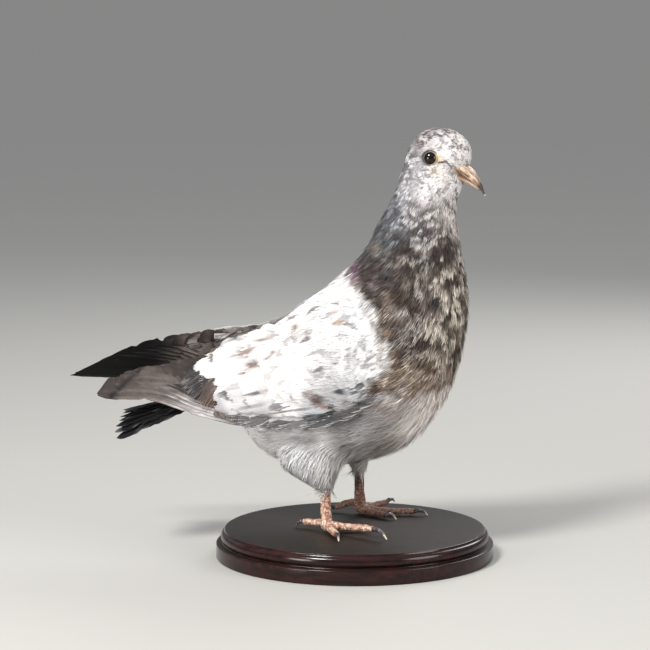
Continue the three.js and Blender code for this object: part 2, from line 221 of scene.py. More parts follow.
def add_camera():
    data = bpy.data.cameras.new("camera")
    data.lens = CAMERA_LENS
    data.sensor_width = 36
    camera = bpy.data.objects.new("camera", data)
    reach = CAMERA_DISTANCE * math.cos(CAMERA_ELEVATION)
    place = Vector((
        reach * math.sin(CAMERA_AZIMUTH),
        -reach * math.cos(CAMERA_AZIMUTH),
        BASE_HEIGHT + CAMERA_DISTANCE * math.sin(CAMERA_ELEVATION),
    ))
    camera.location = place * MM
    camera.rotation_euler = (Vector(CAMERA_AIM) - place).to_track_quat("-Z", "Y").to_euler()
    bpy.context.scene.collection.objects.link(camera)
    bpy.context.scene.camera = camera


def add_light(name, place, size, power, colour):
    data = bpy.data.lights.new(name, "AREA")
    data.shape = "DISK"
    data.size = size
    data.energy = power
    data.color = colour
    light = bpy.data.objects.new(name, data)
    light.location = place
    light.rotation_euler = (LIGHT_AIM - Vector(place)).to_track_quat("-Z", "Y").to_euler()
    bpy.context.scene.collection.objects.link(light)


def add_stage():
    """A plain pale floor, the surround and the lights."""
    mesh = bpy.data.meshes.new("floor")
    corners = [(x * FLOOR_HALF, y * FLOOR_HALF, 0) for x, y in ((-1, -1), (1, -1), (1, 1), (-1, 1))]
    mesh.from_pydata(corners, [], [(0, 1, 2, 3)])
    floor = bpy.data.objects.new("floor", mesh)
    bpy.context.scene.collection.objects.link(floor)
    material, shader, _ = new_material("stage", (0.46, 0.45, 0.425), 0.8)
    shader.inputs["Specular IOR Level"].default_value = 0.1
    mesh.materials.append(material)
    add_sky()
    for name, setting in LIGHTS.items():
        add_light(name, *setting)


def add_sky():
    """A soft studio surround, dim at eye level and brighter overhead."""
    world = bpy.data.worlds.new("studio")
    world.use_nodes = True
    nodes = Nodes(world.node_tree)
    direction = nodes.add("ShaderNodeTexCoord").outputs["Generated"]
    height = nodes.add("ShaderNodeSeparateXYZ", {0: direction}).outputs[2]
    light = nodes.mixed(nodes.span(height, 0.15, 0.7), EYE_LEVEL_SKY, OVERHEAD_SKY)
    nodes.link(light, world.node_tree.nodes["Background"].inputs["Color"])
    bpy.context.scene.world = world


# ------------------------------------------------------------------ materials


class Nodes:
    """Short calls for building a node tree."""

    def __init__(self, tree):
        self.tree = tree

    def add(self, kind, inputs=None, **settings):
        node = self.tree.nodes.new(kind)
        for key, value in settings.items():
            setattr(node, key, value)
        for key, value in (inputs or {}).items():
            if isinstance(value, bpy.types.NodeSocket):
                self.tree.links.new(value, node.inputs[key])
            else:
                node.inputs[key].default_value = value
        return node

    def math(self, operation, a, b=0.0):
        return self.add("ShaderNodeMath", {0: a, 1: b}, operation=operation).outputs[0]

    def span(self, value, low, high, to_low=0.0, to_high=1.0):
        inputs = {"Value": value, "From Min": low, "From Max": high, "To Min": to_low, "To Max": to_high}
        return self.add("ShaderNodeMapRange", inputs).outputs[0]

    def mixed(self, factor, a, b, blend="MIX"):
        node = self.add("ShaderNodeMix", data_type="RGBA", blend_type=blend)
        for index, value in ((0, factor), (6, a), (7, b)):
            if isinstance(value, bpy.types.NodeSocket):
                self.tree.links.new(value, node.inputs[index])
            else:
                node.inputs[index].default_value = value if index == 0 else (*value[:3], 1)
        return node.outputs[2]

    def noise(self, scale, detail, vector=None, roughness=0.55):
        inputs = {"Scale": scale, "Detail": detail, "Roughness": roughness}
        if vector is not None:
            inputs["Vector"] = vector
        return self.add("ShaderNodeTexNoise", inputs).outputs["Fac"]

    def place(self, scale=(1, 1, 1)):
        """Object coordinates in metres, stretched."""
        source = self.add("ShaderNodeTexCoord").outputs["Object"]
        return self.add("ShaderNodeMapping", {"Vector": source, "Scale": scale}).outputs[0]

    def bump(self, height, depth, strength):
        inputs = {"Height": height, "Distance": depth, "Strength": strength}
        return self.add("ShaderNodeBump", inputs).outputs[0]

    def marking(self):
        """The colour that the mesh stores at each point."""
        return self.add("ShaderNodeVertexColor", layer_name="marking").outputs["Color"]

    def shaded(self, colour, shade):
        grey = self.add("ShaderNodeCombineColor", {0: shade, 1: shade, 2: shade}).outputs[0]
        return self.mixed(1.0, colour, grey, "MULTIPLY")

    def link(self, output, target):
        self.tree.links.new(output, target)


def new_material(name, colour, roughness):
    material = bpy.data.materials.new(name)
    material.use_nodes = True
    material.diffuse_color = (*colour, 1)
    shader = material.node_tree.nodes["Principled BSDF"]
    shader.inputs["Base Color"].default_value = (*colour, 1)
    shader.inputs["Roughness"].default_value = roughness
    return material, shader, Nodes(material.node_tree)


def plumage_material():
    """Small feathers: the stored marking with a fine grain and a faint sheen."""
    material, shader, nodes = new_material("plumage", (0.5, 0.5, 0.5), 0.72)
    grain = nodes.noise(900.0, 2.0, nodes.place())
    shade = nodes.span(grain, 0.3, 0.7, 0.9, 1.05)
    nodes.link(nodes.shaded(nodes.marking(), shade), shader.inputs["Base Color"])
    nodes.link(nodes.span(grain, 0.3, 0.7, 0.64, 0.8), shader.inputs["Roughness"])
    nodes.link(nodes.bump(grain, 0.00012, 0.5), shader.inputs["Normal"])
    shader.inputs["Sheen Weight"].default_value = 0.15
    shader.inputs["Sheen Roughness"].default_value = 0.4
    shader.inputs["Specular IOR Level"].default_value = 0.3
    return material


def wood_material():
    """Dark varnished wood, glossy on its mouldings and satin on its level top, which is tinted olive as a
    painted reflection.
    """
    material, shader, nodes = new_material("varnished_wood", (0.02, 0.01, 0.008), 0.22)
    streaks = nodes.span(nodes.noise(6.0, 5.0, nodes.place((3.0, 42.0, 42.0))), 0.35, 0.7)
    pores = nodes.noise(38.0, 2.0, nodes.place((2.0, 60.0, 60.0)))
    tint = nodes.mixed(streaks, linear((13, 7, 7)), linear((50, 20, 17)))
    tint = nodes.mixed(nodes.span(pores, 0.62, 0.78, 0, 0.6), tint, linear((7, 5, 5)))
    normal = nodes.add("ShaderNodeNewGeometry").outputs["Normal"]
    upward = nodes.add("ShaderNodeSeparateXYZ", {0: normal}).outputs[2]
    level = nodes.span(upward, 0.96, 0.995)
    # painted reflection: the level top is tinted olive, as if it reflected a green surround
    wear_and_painted_reflection = nodes.mixed(streaks, linear((22, 18, 13)), linear((37, 27, 20)))
    nodes.link(nodes.mixed(level, tint, wear_and_painted_reflection), shader.inputs["Base Color"])
    polish = nodes.span(nodes.noise(70.0, 3.0), 0, 1, 0.12, 0.2)
    satin = nodes.math("MULTIPLY", level, 0.34)
    nodes.link(nodes.math("ADD", polish, satin), shader.inputs["Roughness"])
    nodes.link(nodes.bump(pores, 0.0001, 0.2), shader.inputs["Normal"])
    shader.inputs["Specular IOR Level"].default_value = 0.32
    return material


# ------------------------------------------------------------------ plinth

LEDGE_HEIGHT = 10.5
TOP_RADIUS = 93.8
FOOT_EDGE = 0.7  # radius of the foot's rounded edges


def arc(centre, radius, start, stop, count):
    """Points (radius, z) round an arc, from one angle to the other in degrees."""
    turn = np.radians(np.linspace(start, stop, count))
    return [(centre[0] + radius[0] * math.cos(t), centre[1] + radius[1] * math.sin(t)) for t in turn]


def ring_faces(rings, around):
    """Four-sided faces between closed rings of points, from each ring to the next."""
    start = np.arange(rings - 1)[:, None] * around
    here = np.arange(around)
    a, b = start + here, start + (here + 1) % around
    return np.stack([a, b, b + around, a + around], -1).reshape(-1, 4)


def lathe(profile, segments):
    """Points and four-sided faces of a profile of (radius, z) turned about the z axis."""
    turn = 2 * np.pi * np.arange(segments) / segments
    rows = [[(r * math.cos(t), r * math.sin(t), z) for t in turn] for r, z in profile]
    return np.array(rows).reshape(-1, 3), ring_faces(len(profile), segments)


def add_plinth():
    """The turned base: a foot with rounded edges, a bead over its ledge, and a level top."""
    foot, ledge = BASE_RADIUS - FOOT_EDGE, LEDGE_HEIGHT
    profile = [(0.01, 0), (foot, 0)]
    profile += arc((foot, FOOT_EDGE), (FOOT_EDGE, FOOT_EDGE), -90, 0, 5)
    profile += arc((foot, ledge - FOOT_EDGE), (FOOT_EDGE, FOOT_EDGE), 0, 90, 5)
    profile += [(BASE_RADIUS - 3.6, ledge), (BASE_RADIUS - 4.3, ledge + 0.1)]
    profile += arc((TOP_RADIUS + 0.6, ledge + 4.4), (2.2, 3.7), -80, 82, 15)
    profile += [(TOP_RADIUS + 0.3, BASE_HEIGHT - 1.5)]
    profile += arc((TOP_RADIUS - 0.5, BASE_HEIGHT - 0.5), (0.5, 0.5), 0, 90, 5)
    profile += [(TOP_RADIUS * share, BASE_HEIGHT) for share in (0.97, 0.7, 0.4, 0.1, 0.0001)]
    points, faces = lathe(profile, 240)
    add_piece("plinth", points - BIRD_ORIGIN, faces, wood_material(), ["base"])


# ------------------------------------------------------------------ the plan of the plumage

# Each row: place (forward, out, up), heading of the feathers (forward, up), then in millimetres the
# spacing of the roots, the feathers' length and width, and the depth of the coat.
PLAN = np.array([
    # forehead, crown, nape, cheek, throat
    (84, 0, 268, -0.5, 0.9, 0.95, 3.0, 1.5, 0.5),
    (66, 0, 287, -1.0, 0.0, 1.05, 4.2, 2.0, 0.7),
    (40, 0, 279, -0.7, -0.7, 1.15, 5.0, 2.4, 0.9),
    (72, 13, 262, -0.9, 0.1, 0.9, 2.8, 1.4, 0.5),
    (58, 14, 252, -0.9, -0.5, 1.05, 4.0, 1.9, 0.7),
    (46, 15, 268, -1.0, -0.2, 1.05, 4.0, 1.9, 0.7),
    (78, 0, 248, -0.5, -0.9, 1.0, 3.8, 1.9, 0.6),
    # neck: nape, side, front, upper and lower
    (30, 0, 250, -0.4, -0.9, 1.6, 7.0, 3.4, 1.4),
    (50, 17, 235, -0.35, -1.0, 1.5, 7.0, 3.2, 1.4),
    (72, 0, 225, 0.0, -1.0, 1.7, 8.0, 3.4, 1.5),
    (18, 0, 222, -0.5, -0.9, 2.0, 10.0, 4.6, 1.9),
    (48, 28, 200, -0.35, -1.0, 2.0, 10.0, 4.6, 2.2),
    (79, 0, 185, 0.0, -1.0, 2.1, 10.5, 4.6, 2.4),
    # breast
    (20, 38, 185, -0.8, -0.8, 2.4, 12.5, 5.6, 2.5),
    (50, 42, 150, -0.6, -0.9, 2.3, 12.0, 5.4, 2.7),
    (80, 0, 145, -0.1, -1.0, 2.3, 12.0, 5.2, 2.7),
    (70, 0, 100, -0.5, -0.9, 2.5, 13.0, 5.8, 3.0),
    (35, 44, 118, -0.95, -0.5, 2.4, 13.5, 6.0, 3.0),
    # belly and vent
    (40, 0, 60, -1.0, -0.2, 2.8, 15.0, 6.4, 3.2),
    (10, 38, 75, -1.0, -0.15, 2.7, 16.0, 6.4, 3.2),
    (-25, 0, 44, -1.0, 0.1, 3.0, 17.0, 6.6, 3.4),
    (-45, 28, 60, -0.9, -0.2, 2.7, 17.0, 6.4, 3.6),
    (-75, 0, 70, -1.0, 0.35, 2.8, 19.0, 6.2, 3.8),
    # mantle, back and rump
    (0, 0, 196, -0.7, -0.7, 2.6, 13.0, 6.6, 2.2),
    (-35, 0, 160, -0.9, -0.4, 3.4, 17.0, 9.5, 2.3),
    (-70, 0, 130, -1.0, -0.3, 3.4, 19.0, 9.0, 2.6),
])

# The same for the wings, for which the second number is not used.
WING_PLAN = np.array([
    (24, 0, 132, -1.0, -0.35, 2.2, 9.0, 5.0, 2.0),
    (0, 0, 160, -0.9, -0.35, 2.7, 12.0, 7.4, 1.7),
    (0, 0, 130, -1.0, -0.1, 2.6, 12.0, 7.2, 1.7),
    (0, 0, 95, -1.0, 0.0, 2.6, 12.0, 6.4, 1.6),
    (-35, 0, 150, -0.95, -0.3, 3.6, 18.0, 10.5, 1.8),
    (-35, 0, 115, -1.0, -0.1, 3.4, 17.0, 10.0, 1.8),
    (-35, 0, 82, -1.0, 0.0, 2.9, 15.0, 7.0, 1.4),
    (-70, 0, 135, -0.97, -0.28, 4.2, 23.0, 12.0, 1.8),
    (-70, 0, 110, -1.0, -0.1, 4.2, 23.0, 11.5, 1.8),
    (-70, 0, 82, -1.0, 0.05, 3.0, 16.0, 6.5, 1.6),
    (-100, 0, 115, -1.0, -0.2, 3.4, 17.0, 9.0, 2.4),
    (-100, 0, 85, -1.0, 0.1, 3.0, 15.0, 7.0, 2.4),
])


def blended(table, places, reach=60.0):
    """The values of a table of places and values, blended at each place from the nearest rows."""
    gap = ((places[:, None, :] - table[None, :, :3]) ** 2).sum(-1)
    weight = 1 / (gap + reach) ** 2.2
    return weight @ table[:, 3:] / weight.sum(1, keepdims=True)


# ------------------------------------------------------------------ markings


def straightened(points):
    """The points of the head and neck where they would be if the head looked straight ahead."""
    share = smoothstep(167, 243, points[:, 2])
    turn = -HEAD_TURN * share
    away = points - HEAD_PIVOT
    x = away[:, 0] * np.cos(turn) - away[:, 1] * np.sin(turn)
    y = away[:, 0] * np.sin(turn) + away[:, 1] * np.cos(turn)
    return np.column_stack([x, y, away[:, 2]]) + HEAD_PIVOT


def on_one_side(points):
    """Places for the tables: forward, out from the middle plane, and up, with the head straight."""
    own = straightened(points)
    return np.column_stack([own[:, 0], np.abs(own[:, 1]), own[:, 2]])


# Place (forward, out, up), main colour, colour of the streaks, and how many feathers carry a streak.
DARK_MARKS = np.array([
    # head
    (86, 0, 266, 233, 230, 230, 120, 110, 110, 0.1),
    (76, 6, 280, 226, 221, 220, 84, 74, 76, 0.48),
    (66, 0, 288, 182, 174, 172, 58, 50, 50, 0.74),
    (50, 6, 285, 172, 165, 165, 58, 50, 52, 0.78),
    (38, 0, 274, 92, 88, 89, 226, 223, 223, 0.5),
    (32, 0, 258, 100, 97, 100, 210, 208, 211, 0.42),
    (52, 13, 278, 192, 186, 186, 60, 52, 54, 0.78),
    (66, 14, 274, 233, 231, 232, 128, 119, 121, 0.24),
    (76, 12, 262, 231, 228, 227, 152, 142, 142, 0.16),
    (64, 15, 253, 226, 222, 218, 150, 140, 134, 0.34),
    (42, 14, 265, 96, 92, 94, 236, 234, 236, 0.38),
    (38, 12, 256, 110, 107, 110, 222, 220, 223, 0.42),
    (50, 16, 256, 216, 212, 215, 112, 108, 112, 0.5),
    (56, 16, 247, 230, 228, 230, 132, 129, 131, 0.34),
    (80, 6, 250, 233, 232, 235, 100, 98, 106, 0.16),
    # throat and upper neck
    (70, 0, 238, 226, 222, 220, 112, 106, 102, 0.28),
    (54, 17, 238, 226, 222, 222, 88, 82, 82, 0.34),
    (28, 4, 246, 89, 89, 94, 164, 164, 167, 0.25),
    (38, 16, 240, 150, 148, 151, 222, 221, 224, 0.42),
    (46, 18, 230, 112, 108, 108, 222, 218, 218, 0.42),
    (58, 17, 228, 108, 102, 100, 236, 231, 229, 0.5),
    (70, 8, 226, 214, 206, 203, 74, 67, 64, 0.42),
    (76, 0, 214, 204, 195, 190, 68, 60, 56, 0.5),
    (30, 15, 226, 81, 81, 87, 151, 153, 158, 0.3),
    (16, 4, 222, 71, 71, 77, 111, 111, 120, 0.22),
    # lower neck
    (78, 0, 196, 84, 74, 69, 238, 230, 220, 0.62),
    (66, 18, 205, 78, 69, 65, 230, 222, 216, 0.5),
    (50, 22, 212, 72, 68, 69, 206, 203, 203, 0.4),
    (46, 25, 198, 52, 48, 48, 155, 150, 148, 0.34),
    (34, 24, 196, 55, 51, 50, 141, 134, 128, 0.35),
    (28, 31, 182, 49, 47, 49, 88, 92, 95, 0.3),
    (26, 20, 207, 64, 68, 71, 125, 131, 135, 0.3),
    (9, 10, 203, 64, 60, 64, 95, 90, 99, 0.25),
    (20, 24, 188, 59, 52, 51, 99, 90, 88, 0.25),
    (8, 24, 178, 74, 64, 63, 110, 100, 98, 0.2),
    # breast
    (80, 0, 172, 82, 70, 63, 242, 233, 218, 0.62),
    (68, 22, 178, 80, 69, 62, 238, 229, 214, 0.58),
    (54, 32, 168, 56, 50, 47, 177, 169, 163, 0.45),
    (37, 31, 189, 74, 66, 59, 177, 166, 154, 0.45),
    (30, 37, 170, 61, 49, 40, 127, 117, 109, 0.32),
    (34, 40, 161, 53, 47, 46, 147, 140, 136, 0.4),
    (30, 43, 146, 38, 33, 32, 121, 114, 110, 0.28),
    (24, 42, 150, 58, 46, 38, 121, 110, 103, 0.3),
    (44, 41, 150, 66, 61, 59, 169, 163, 158, 0.45),
    (41, 42, 137, 53, 46, 42, 151, 141, 134, 0.38),
    (62, 32, 145, 76, 67, 61, 226, 217, 203, 0.55),
    (70, 24, 153, 82, 71, 64, 242, 234, 219, 0.62),
    (82, 0, 145, 78, 67, 61, 238, 229, 214, 0.6),
    (72, 20, 130, 80, 69, 62, 232, 223, 208, 0.55),
    (62, 30, 126, 88, 75, 66, 230, 218, 204, 0.5),
    (46, 40, 120, 82, 69, 59, 190, 177, 163, 0.4),
    (34, 45, 119, 92, 77, 65, 168, 154, 140, 0.36),
    (27, 45, 126, 82, 69, 60, 156, 144, 134, 0.32),
    (39, 42, 108, 112, 94, 80, 168, 152, 138, 0.35),
    (46, 37, 99, 190, 168, 152, 120, 100, 84, 0.4),
    (57, 28, 100, 110, 88, 74, 200, 188, 176, 0.45),
    (66, 22, 110, 116, 100, 90, 206, 196, 184, 0.5),
    (74, 6, 106, 106, 92, 83, 210, 200, 188, 0.5),
], float)

LIGHT_MARKS = np.array([
    # belly, flanks, vent and thighs
    (56, 10, 84, 238, 230, 224, 176, 160, 150, 0.2),
    (44, 26, 78, 244, 239, 234, 204, 194, 188, 0.2),
    (40, 10, 62, 226, 220, 216, 186, 178, 174, 0.15),
    (28, 42, 92, 168, 160, 156, 206, 198, 192, 0.3),
    (14, 43, 88, 150, 145, 144, 196, 192, 190, 0.3),
    # painted shadow: the dark row just under the wing's lower edge
    (0, 42, 88, 92, 88, 88, 140, 136, 136, 0.2),
    (8, 38, 76, 176, 172, 172, 226, 224, 224, 0.3),
    (20, 28, 60, 158, 151, 149, 188, 180, 177, 0.25),
    (0, 10, 48, 171, 166, 164, 201, 196, 192, 0.2),
    (-5, 32, 62, 148, 144, 144, 194, 192, 192, 0.25),
    (-40, 28, 73, 252, 251, 251, 200, 198, 198, 0.18),
    (-58, 24, 75, 252, 251, 251, 180, 176, 176, 0.22),
    (-20, 30, 70, 252, 251, 251, 200, 198, 198, 0.18),
    (-34, 34, 64, 207, 206, 206, 147, 145, 145, 0.15),
    (-50, 28, 72, 207, 206, 206, 147, 145, 145, 0.15),
    (-70, 10, 70, 246, 244, 244, 122, 118, 118, 0.3),
    (-34, 26, 52, 199, 200, 202, 126, 128, 132, 0.25),
    (-20, 26, 46, 210, 207, 206, 153, 148, 144, 0.25),
    (-2, 26, 45, 214, 210, 207, 166, 160, 156, 0.25),
    # mantle, back and rump
    (0, 10, 180, 232, 229, 228, 200, 190, 186, 0.12),
    (-30, 0, 160, 234, 232, 231, 214, 210, 210, 0.1),
    (-60, 0, 140, 226, 223, 222, 190, 186, 184, 0.16),
    (-82, 0, 122, 150, 143, 140, 96, 88, 86, 0.4),
    (-100, 0, 105, 96, 90, 90, 60, 54, 56, 0.4),
    # wing
    (0, 40, 140, 226, 225, 226, 166, 164, 168, 0.2),
    (8, 45, 122, 232, 232, 233, 160, 156, 156, 0.16),
    (6, 46, 104, 214, 214, 216, 54, 56, 60, 0.36),
    (-10, 46, 92, 192, 191, 194, 44, 45, 49, 0.46),
    (-35, 45, 140, 224, 223, 223, 170, 163, 161, 0.22),
    (-35, 45, 112, 224, 223, 223, 180, 175, 175, 0.2),
    (-50, 42, 92, 226, 225, 225, 188, 182, 180, 0.18),
    (-75, 35, 115, 230, 229, 229, 206, 202, 200, 0.12),
    (-95, 28, 118, 230, 229, 229, 204, 201, 200, 0.1),
    (-84, 36, 92, 214, 212, 214, 140, 138, 141, 0.3),
    (-60, 48, 80, 112, 109, 112, 226, 224, 226, 0.35),
    (14, 50, 93, 164, 162, 166, 50, 51, 56, 0.5),
    (-20, 52, 83, 150, 154, 157, 40, 40, 44, 0.5),
    (-95, 42, 85, 138, 134, 138, 84, 82, 85, 0.3),
], float)

# Where the dark breast and neck meet the white of the mantle and wing: height, and place along the bird.
BORDER = np.array([(95, 10), (101, 12), (109, 15), (116, 24), (126, 28), (137, 24), (147, 20), (161, 16),
                   (168, 9), (176, 0), (184, -5), (190, -10), (200, -20)], float)

# Patches on the wings: place (forward, up), length and breadth, tilt in degrees, colour.
SPOT_DEPTH, SPOT_COVER = 0.84, 0.97  # how far a patch is darkened, and how well it covers
TAN, BROWN, GREY, SLATE = (204, 182, 164), (158, 138, 130), (158, 158, 164), (86, 92, 98)
SPOTS = {
    RIGHT: [
        (-10, 152, 12, 6, 15, TAN), (-4, 151, 5, 3.5, 0, (138, 112, 92)),
        (-16, 158, 10, 3.5, 20, (222, 206, 196)), (-42, 146, 8, 6, 60, (150, 128, 114)),
        (-45, 140, 7, 3, 30, GREY), (-34, 139, 10, 4.5, 35, (140, 132, 132)),
        (-64, 138, 14, 6, 20, BROWN), (-78, 128, 20, 6, 22, BROWN),
        (-74, 118, 17, 8, 42, (128, 108, 102)), (-59, 127, 12, 4.5, 42, (176, 158, 152)),
        (-84, 137, 9, 4, 5, (168, 170, 172)), (-24, 119, 9, 5, 25, (110, 108, 112)),
        (-54, 121, 5, 3, 40, GREY), (-26, 99, 16, 11, -30, (112, 92, 90)),
        (-19, 93, 12, 7, -20, (176, 150, 144)), (4, 108, 14, 6, 10, (104, 108, 114)),
        (-8.5, 104, 10, 6, 5, SLATE), (7, 96, 9, 6, 20, (40, 42, 46)), (-3, 96, 7, 4, 10, (56, 58, 62)),
        (-14, 85, 14, 5.5, 22, (80, 82, 86)), (-32, 86, 9, 3, 12, (84, 82, 84)),
        (-73, 91, 26, 5, 14, (160, 156, 160)), (-94, 85, 10, 5, -20, (166, 146, 136)),
        (-29, 130, 7, 2.5, 30, (140, 136, 138)), (-36, 91, 20, 3, 8, (150, 148, 152)),
        (-69, 101, 22, 4.5, 14, (112, 108, 112)), (14, 128, 5, 4, 0, GREY),
        (4, 133, 5, 3.5, 20, (176, 160, 156)), (7, 138, 5, 4, 0, (160, 160, 166)),
        (-3, 134, 5, 3.5, 0, (180, 178, 186)), (-52, 88, 24, 2.2, 14, (150, 136, 132)),
        (-12, 124, 5, 3, 10, (190, 186, 190)), (16, 120, 8, 3, -20, (150, 152, 158)),
    ],
    LEFT: [
        (-14, 148, 10, 6, 10, TAN), (-38, 143, 10, 5, 40, BROWN), (-60, 136, 14, 6, 25, (140, 118, 110)),
        (-52, 118, 11, 5, 30, GREY), (-80, 122, 15, 6, 20, BROWN),
        (-30, 104, 11, 8, -10, (128, 110, 106)), (4, 108, 12, 6, 0, SLATE),
        (-6, 98, 11, 6, 15, (80, 82, 88)), (10, 118, 10, 5, -10, (120, 122, 128)),
        (-66, 100, 20, 4.5, 12, (124, 120, 122)), (0, 134, 5, 4, 0, GREY), (-22, 128, 6, 4, 20, GREY),
        (-46, 92, 22, 3, 10, (150, 140, 138)), (-12, 160, 7, 4, 20, GREY),
    ],
}


def colour_parts(points):
    """Main colour, streak colour and share of streaked feathers at each point, in 0-255 display levels."""
    places = on_one_side(points)
    waver = noise(points, 9.0, 3) - 0.5
    fine = noise(points, 3.0, 4) - 0.5
    edge = np.interp(points[:, 2], *BORDER.T)
    ahead = smoothstep(-2.5, 2.5, points[:, 0] - edge + 7 * waver + 6 * fine)
    above = smoothstep(-8, 8, points[:, 2] - 97 + 24 * waver + 10 * fine)
    dark = blended(DARK_MARKS, places, 25.0)
    light = blended(LIGHT_MARKS, places, 40.0)
    both = mix(light, dark, ahead * above)
    main, streak, share = both[:, :3], both[:, 3:6], both[:, 6]
    mottled = ahead * above * smoothstep(228, 200, points[:, 2])
    tone = noise(points, (7.0, 7.0, 8.0), 22)
    main = layered(
        main,
        ((128, 117, 108), mottled * 0.6 * smoothstep(0.56, 0.74, tone)),
        ((52, 42, 39), mottled * 0.75 * smoothstep(0.46, 0.28, tone)),
    )
    warm = smoothstep(0.58, 0.76, noise(points, 9.0, 23)) * smoothstep(180, 150, points[:, 2])
    main = mix(main, (98, 80, 64), mottled * 0.5 * warm)
    side_patch = smoothstep(7, 11, places[:, 1])
    gleam = smoothstep(6.5, 2.5, np.hypot(points[:, 0] + 2, (points[:, 2] - 185) * 0.5)) * ahead * side_patch
    main = mix(main, (150, 108, 138), gleam * 0.7 * smoothstep(-0.4, 0.0, fine))
    fringe = smoothstep(7, 1, np.abs(points[:, 0] - edge + 3 + 6 * waver)) * above * (1 - ahead)
    fringe = fringe * smoothstep(-0.2, 0.3, fine) * smoothstep(170, 150, points[:, 2])
    main = mix(main, (120, 98, 82), fringe * 0.55)
    face = np.flatnonzero(points[:, 2] > 250)
    for side_name in SIDES:
        forward, up, out = from_eye(points[face], side_name)
        line = np.interp(forward, [5, 11.5, 15], [-3.0, -2.4, -6.5])
        lore = smoothstep(1.3, 0.3, np.abs(up - line)) * smoothstep(4.5, 6, forward)
        lore = lore * smoothstep(16, 14.5, forward)
        stain = smoothstep(3.5, 1.5, np.hypot((forward - 2.5) * 0.7, (up + 9) * 0.8))
        near = out > -6
        main[face] = mix(main[face], (78, 58, 54), 0.85 * lore * near)
        main[face] = mix(main[face], (206, 172, 118), 0.22 * stain * near)
    return main, streak, share


def on_inner_face(points, colours, inner):
    """The colours with plain grey-brown ones on the faces of the wings that look at each other: partly their
    own colour, partly painted shade between the wings.
    """
    cloud = noise(points, (16.0, 6.0, 4.0), 13)
    plain = mix((118, 111, 107), (172, 166, 163), smoothstep(0.4, 0.8, cloud))
    return mix(colours, plain, inner)


def with_spots(points, colours, side):
    """The colours with the patches of one wing laid over them, each with a soft uneven edge."""
    uneven = 0.7 * (noise(points, 2.6, 11) - 0.5)
    for x, z, length, breadth, tilt, colour in SPOTS[side]:
        turn = math.radians(tilt)
        dx, dz = points[:, 0] - x, points[:, 2] - z
        along = (dx * math.cos(turn) + dz * math.sin(turn)) / (length / 2)
        across = (dz * math.cos(turn) - dx * math.sin(turn)) / (breadth / 2)
        wedge = 0.6 + 0.4 * np.clip(along, -1, 1)
        inside = smoothstep(1.3, 0.55, np.sqrt(along**2 + (across / wedge) ** 2) + uneven)
        colours = mix(colours, np.array(colour) * SPOT_DEPTH, inside * SPOT_COVER)
    return colours


# ------------------------------------------------------------------ skin

FLESH = ["trunk", "neck", "head", "thigh_right", "thigh_left", "wing_right", "wing_left"]
KINDS = {"trunk": 0, "neck": 1, "head": 2, "thigh": 3, "wing": 4}
SKIN_VOXEL, BILL_VOXEL, LEG_VOXEL, CLAW_VOXEL = 1.7, 0.28, 0.45, 0.24
TRIALS = 11  # roots tried for each that can have its room
LAP = 0.3  # how far the solids are swelled so that they run together


def remeshed(points, faces, voxel, smoothing):
    """A closed mesh made again with even faces of one size, and smoothed: points and four-sided faces."""
    mesh = bpy.data.meshes.new("shape")
    mesh.from_pydata(points.tolist(), [], faces.tolist())
    helper = bpy.data.objects.new("shape", mesh)
    bpy.context.scene.collection.objects.link(helper)
    remesh = helper.modifiers.new("remesh", "REMESH")
    remesh.mode = "VOXEL"
    remesh.voxel_size = voxel
    smooth = helper.modifiers.new("smooth", "SMOOTH")
    smooth.factor = 0.5
    smooth.iterations = smoothing
    made = helper.evaluated_get(bpy.context.evaluated_depsgraph_get()).to_mesh()
    new_points = np.empty(len(made.vertices) * 3)
    made.vertices.foreach_get("co", new_points)
    new_faces = np.empty(len(made.loops), int)
    made.loops.foreach_get("vertex_index", new_faces)
    bpy.data.objects.remove(helper)
    bpy.data.meshes.remove(mesh)
    return new_points.reshape(-1, 3), new_faces.reshape(-1, 4)


def flesh_mesh():
    """The solids of the flesh run together into one closed mesh: points and four-sided faces."""
    all_points, all_faces, count = [], [], 0
    for name in FLESH:
        points, faces = node_mesh(name)
        points = swelled(points, faces, LAP)
        all_points.append(points)
        all_faces.append(faces + count)
        count += len(points)
    return remeshed(np.concatenate(all_points), np.concatenate(all_faces), SKIN_VOXEL, 0)


def vertex_normals(points, faces):
    corners = points[faces]
    normals = np.cross(corners[:, 2] - corners[:, 0], corners[:, -1] - corners[:, 1])
    total = np.zeros_like(points)
    for k in range(faces.shape[1]):
        np.add.at(total, faces[:, k], normals)
    return unit(total)


def swelled(points, faces, by):
    return points + by * vertex_normals(points, faces)


def shifted(points, axis, by):
    return points + axis * by[:, None]


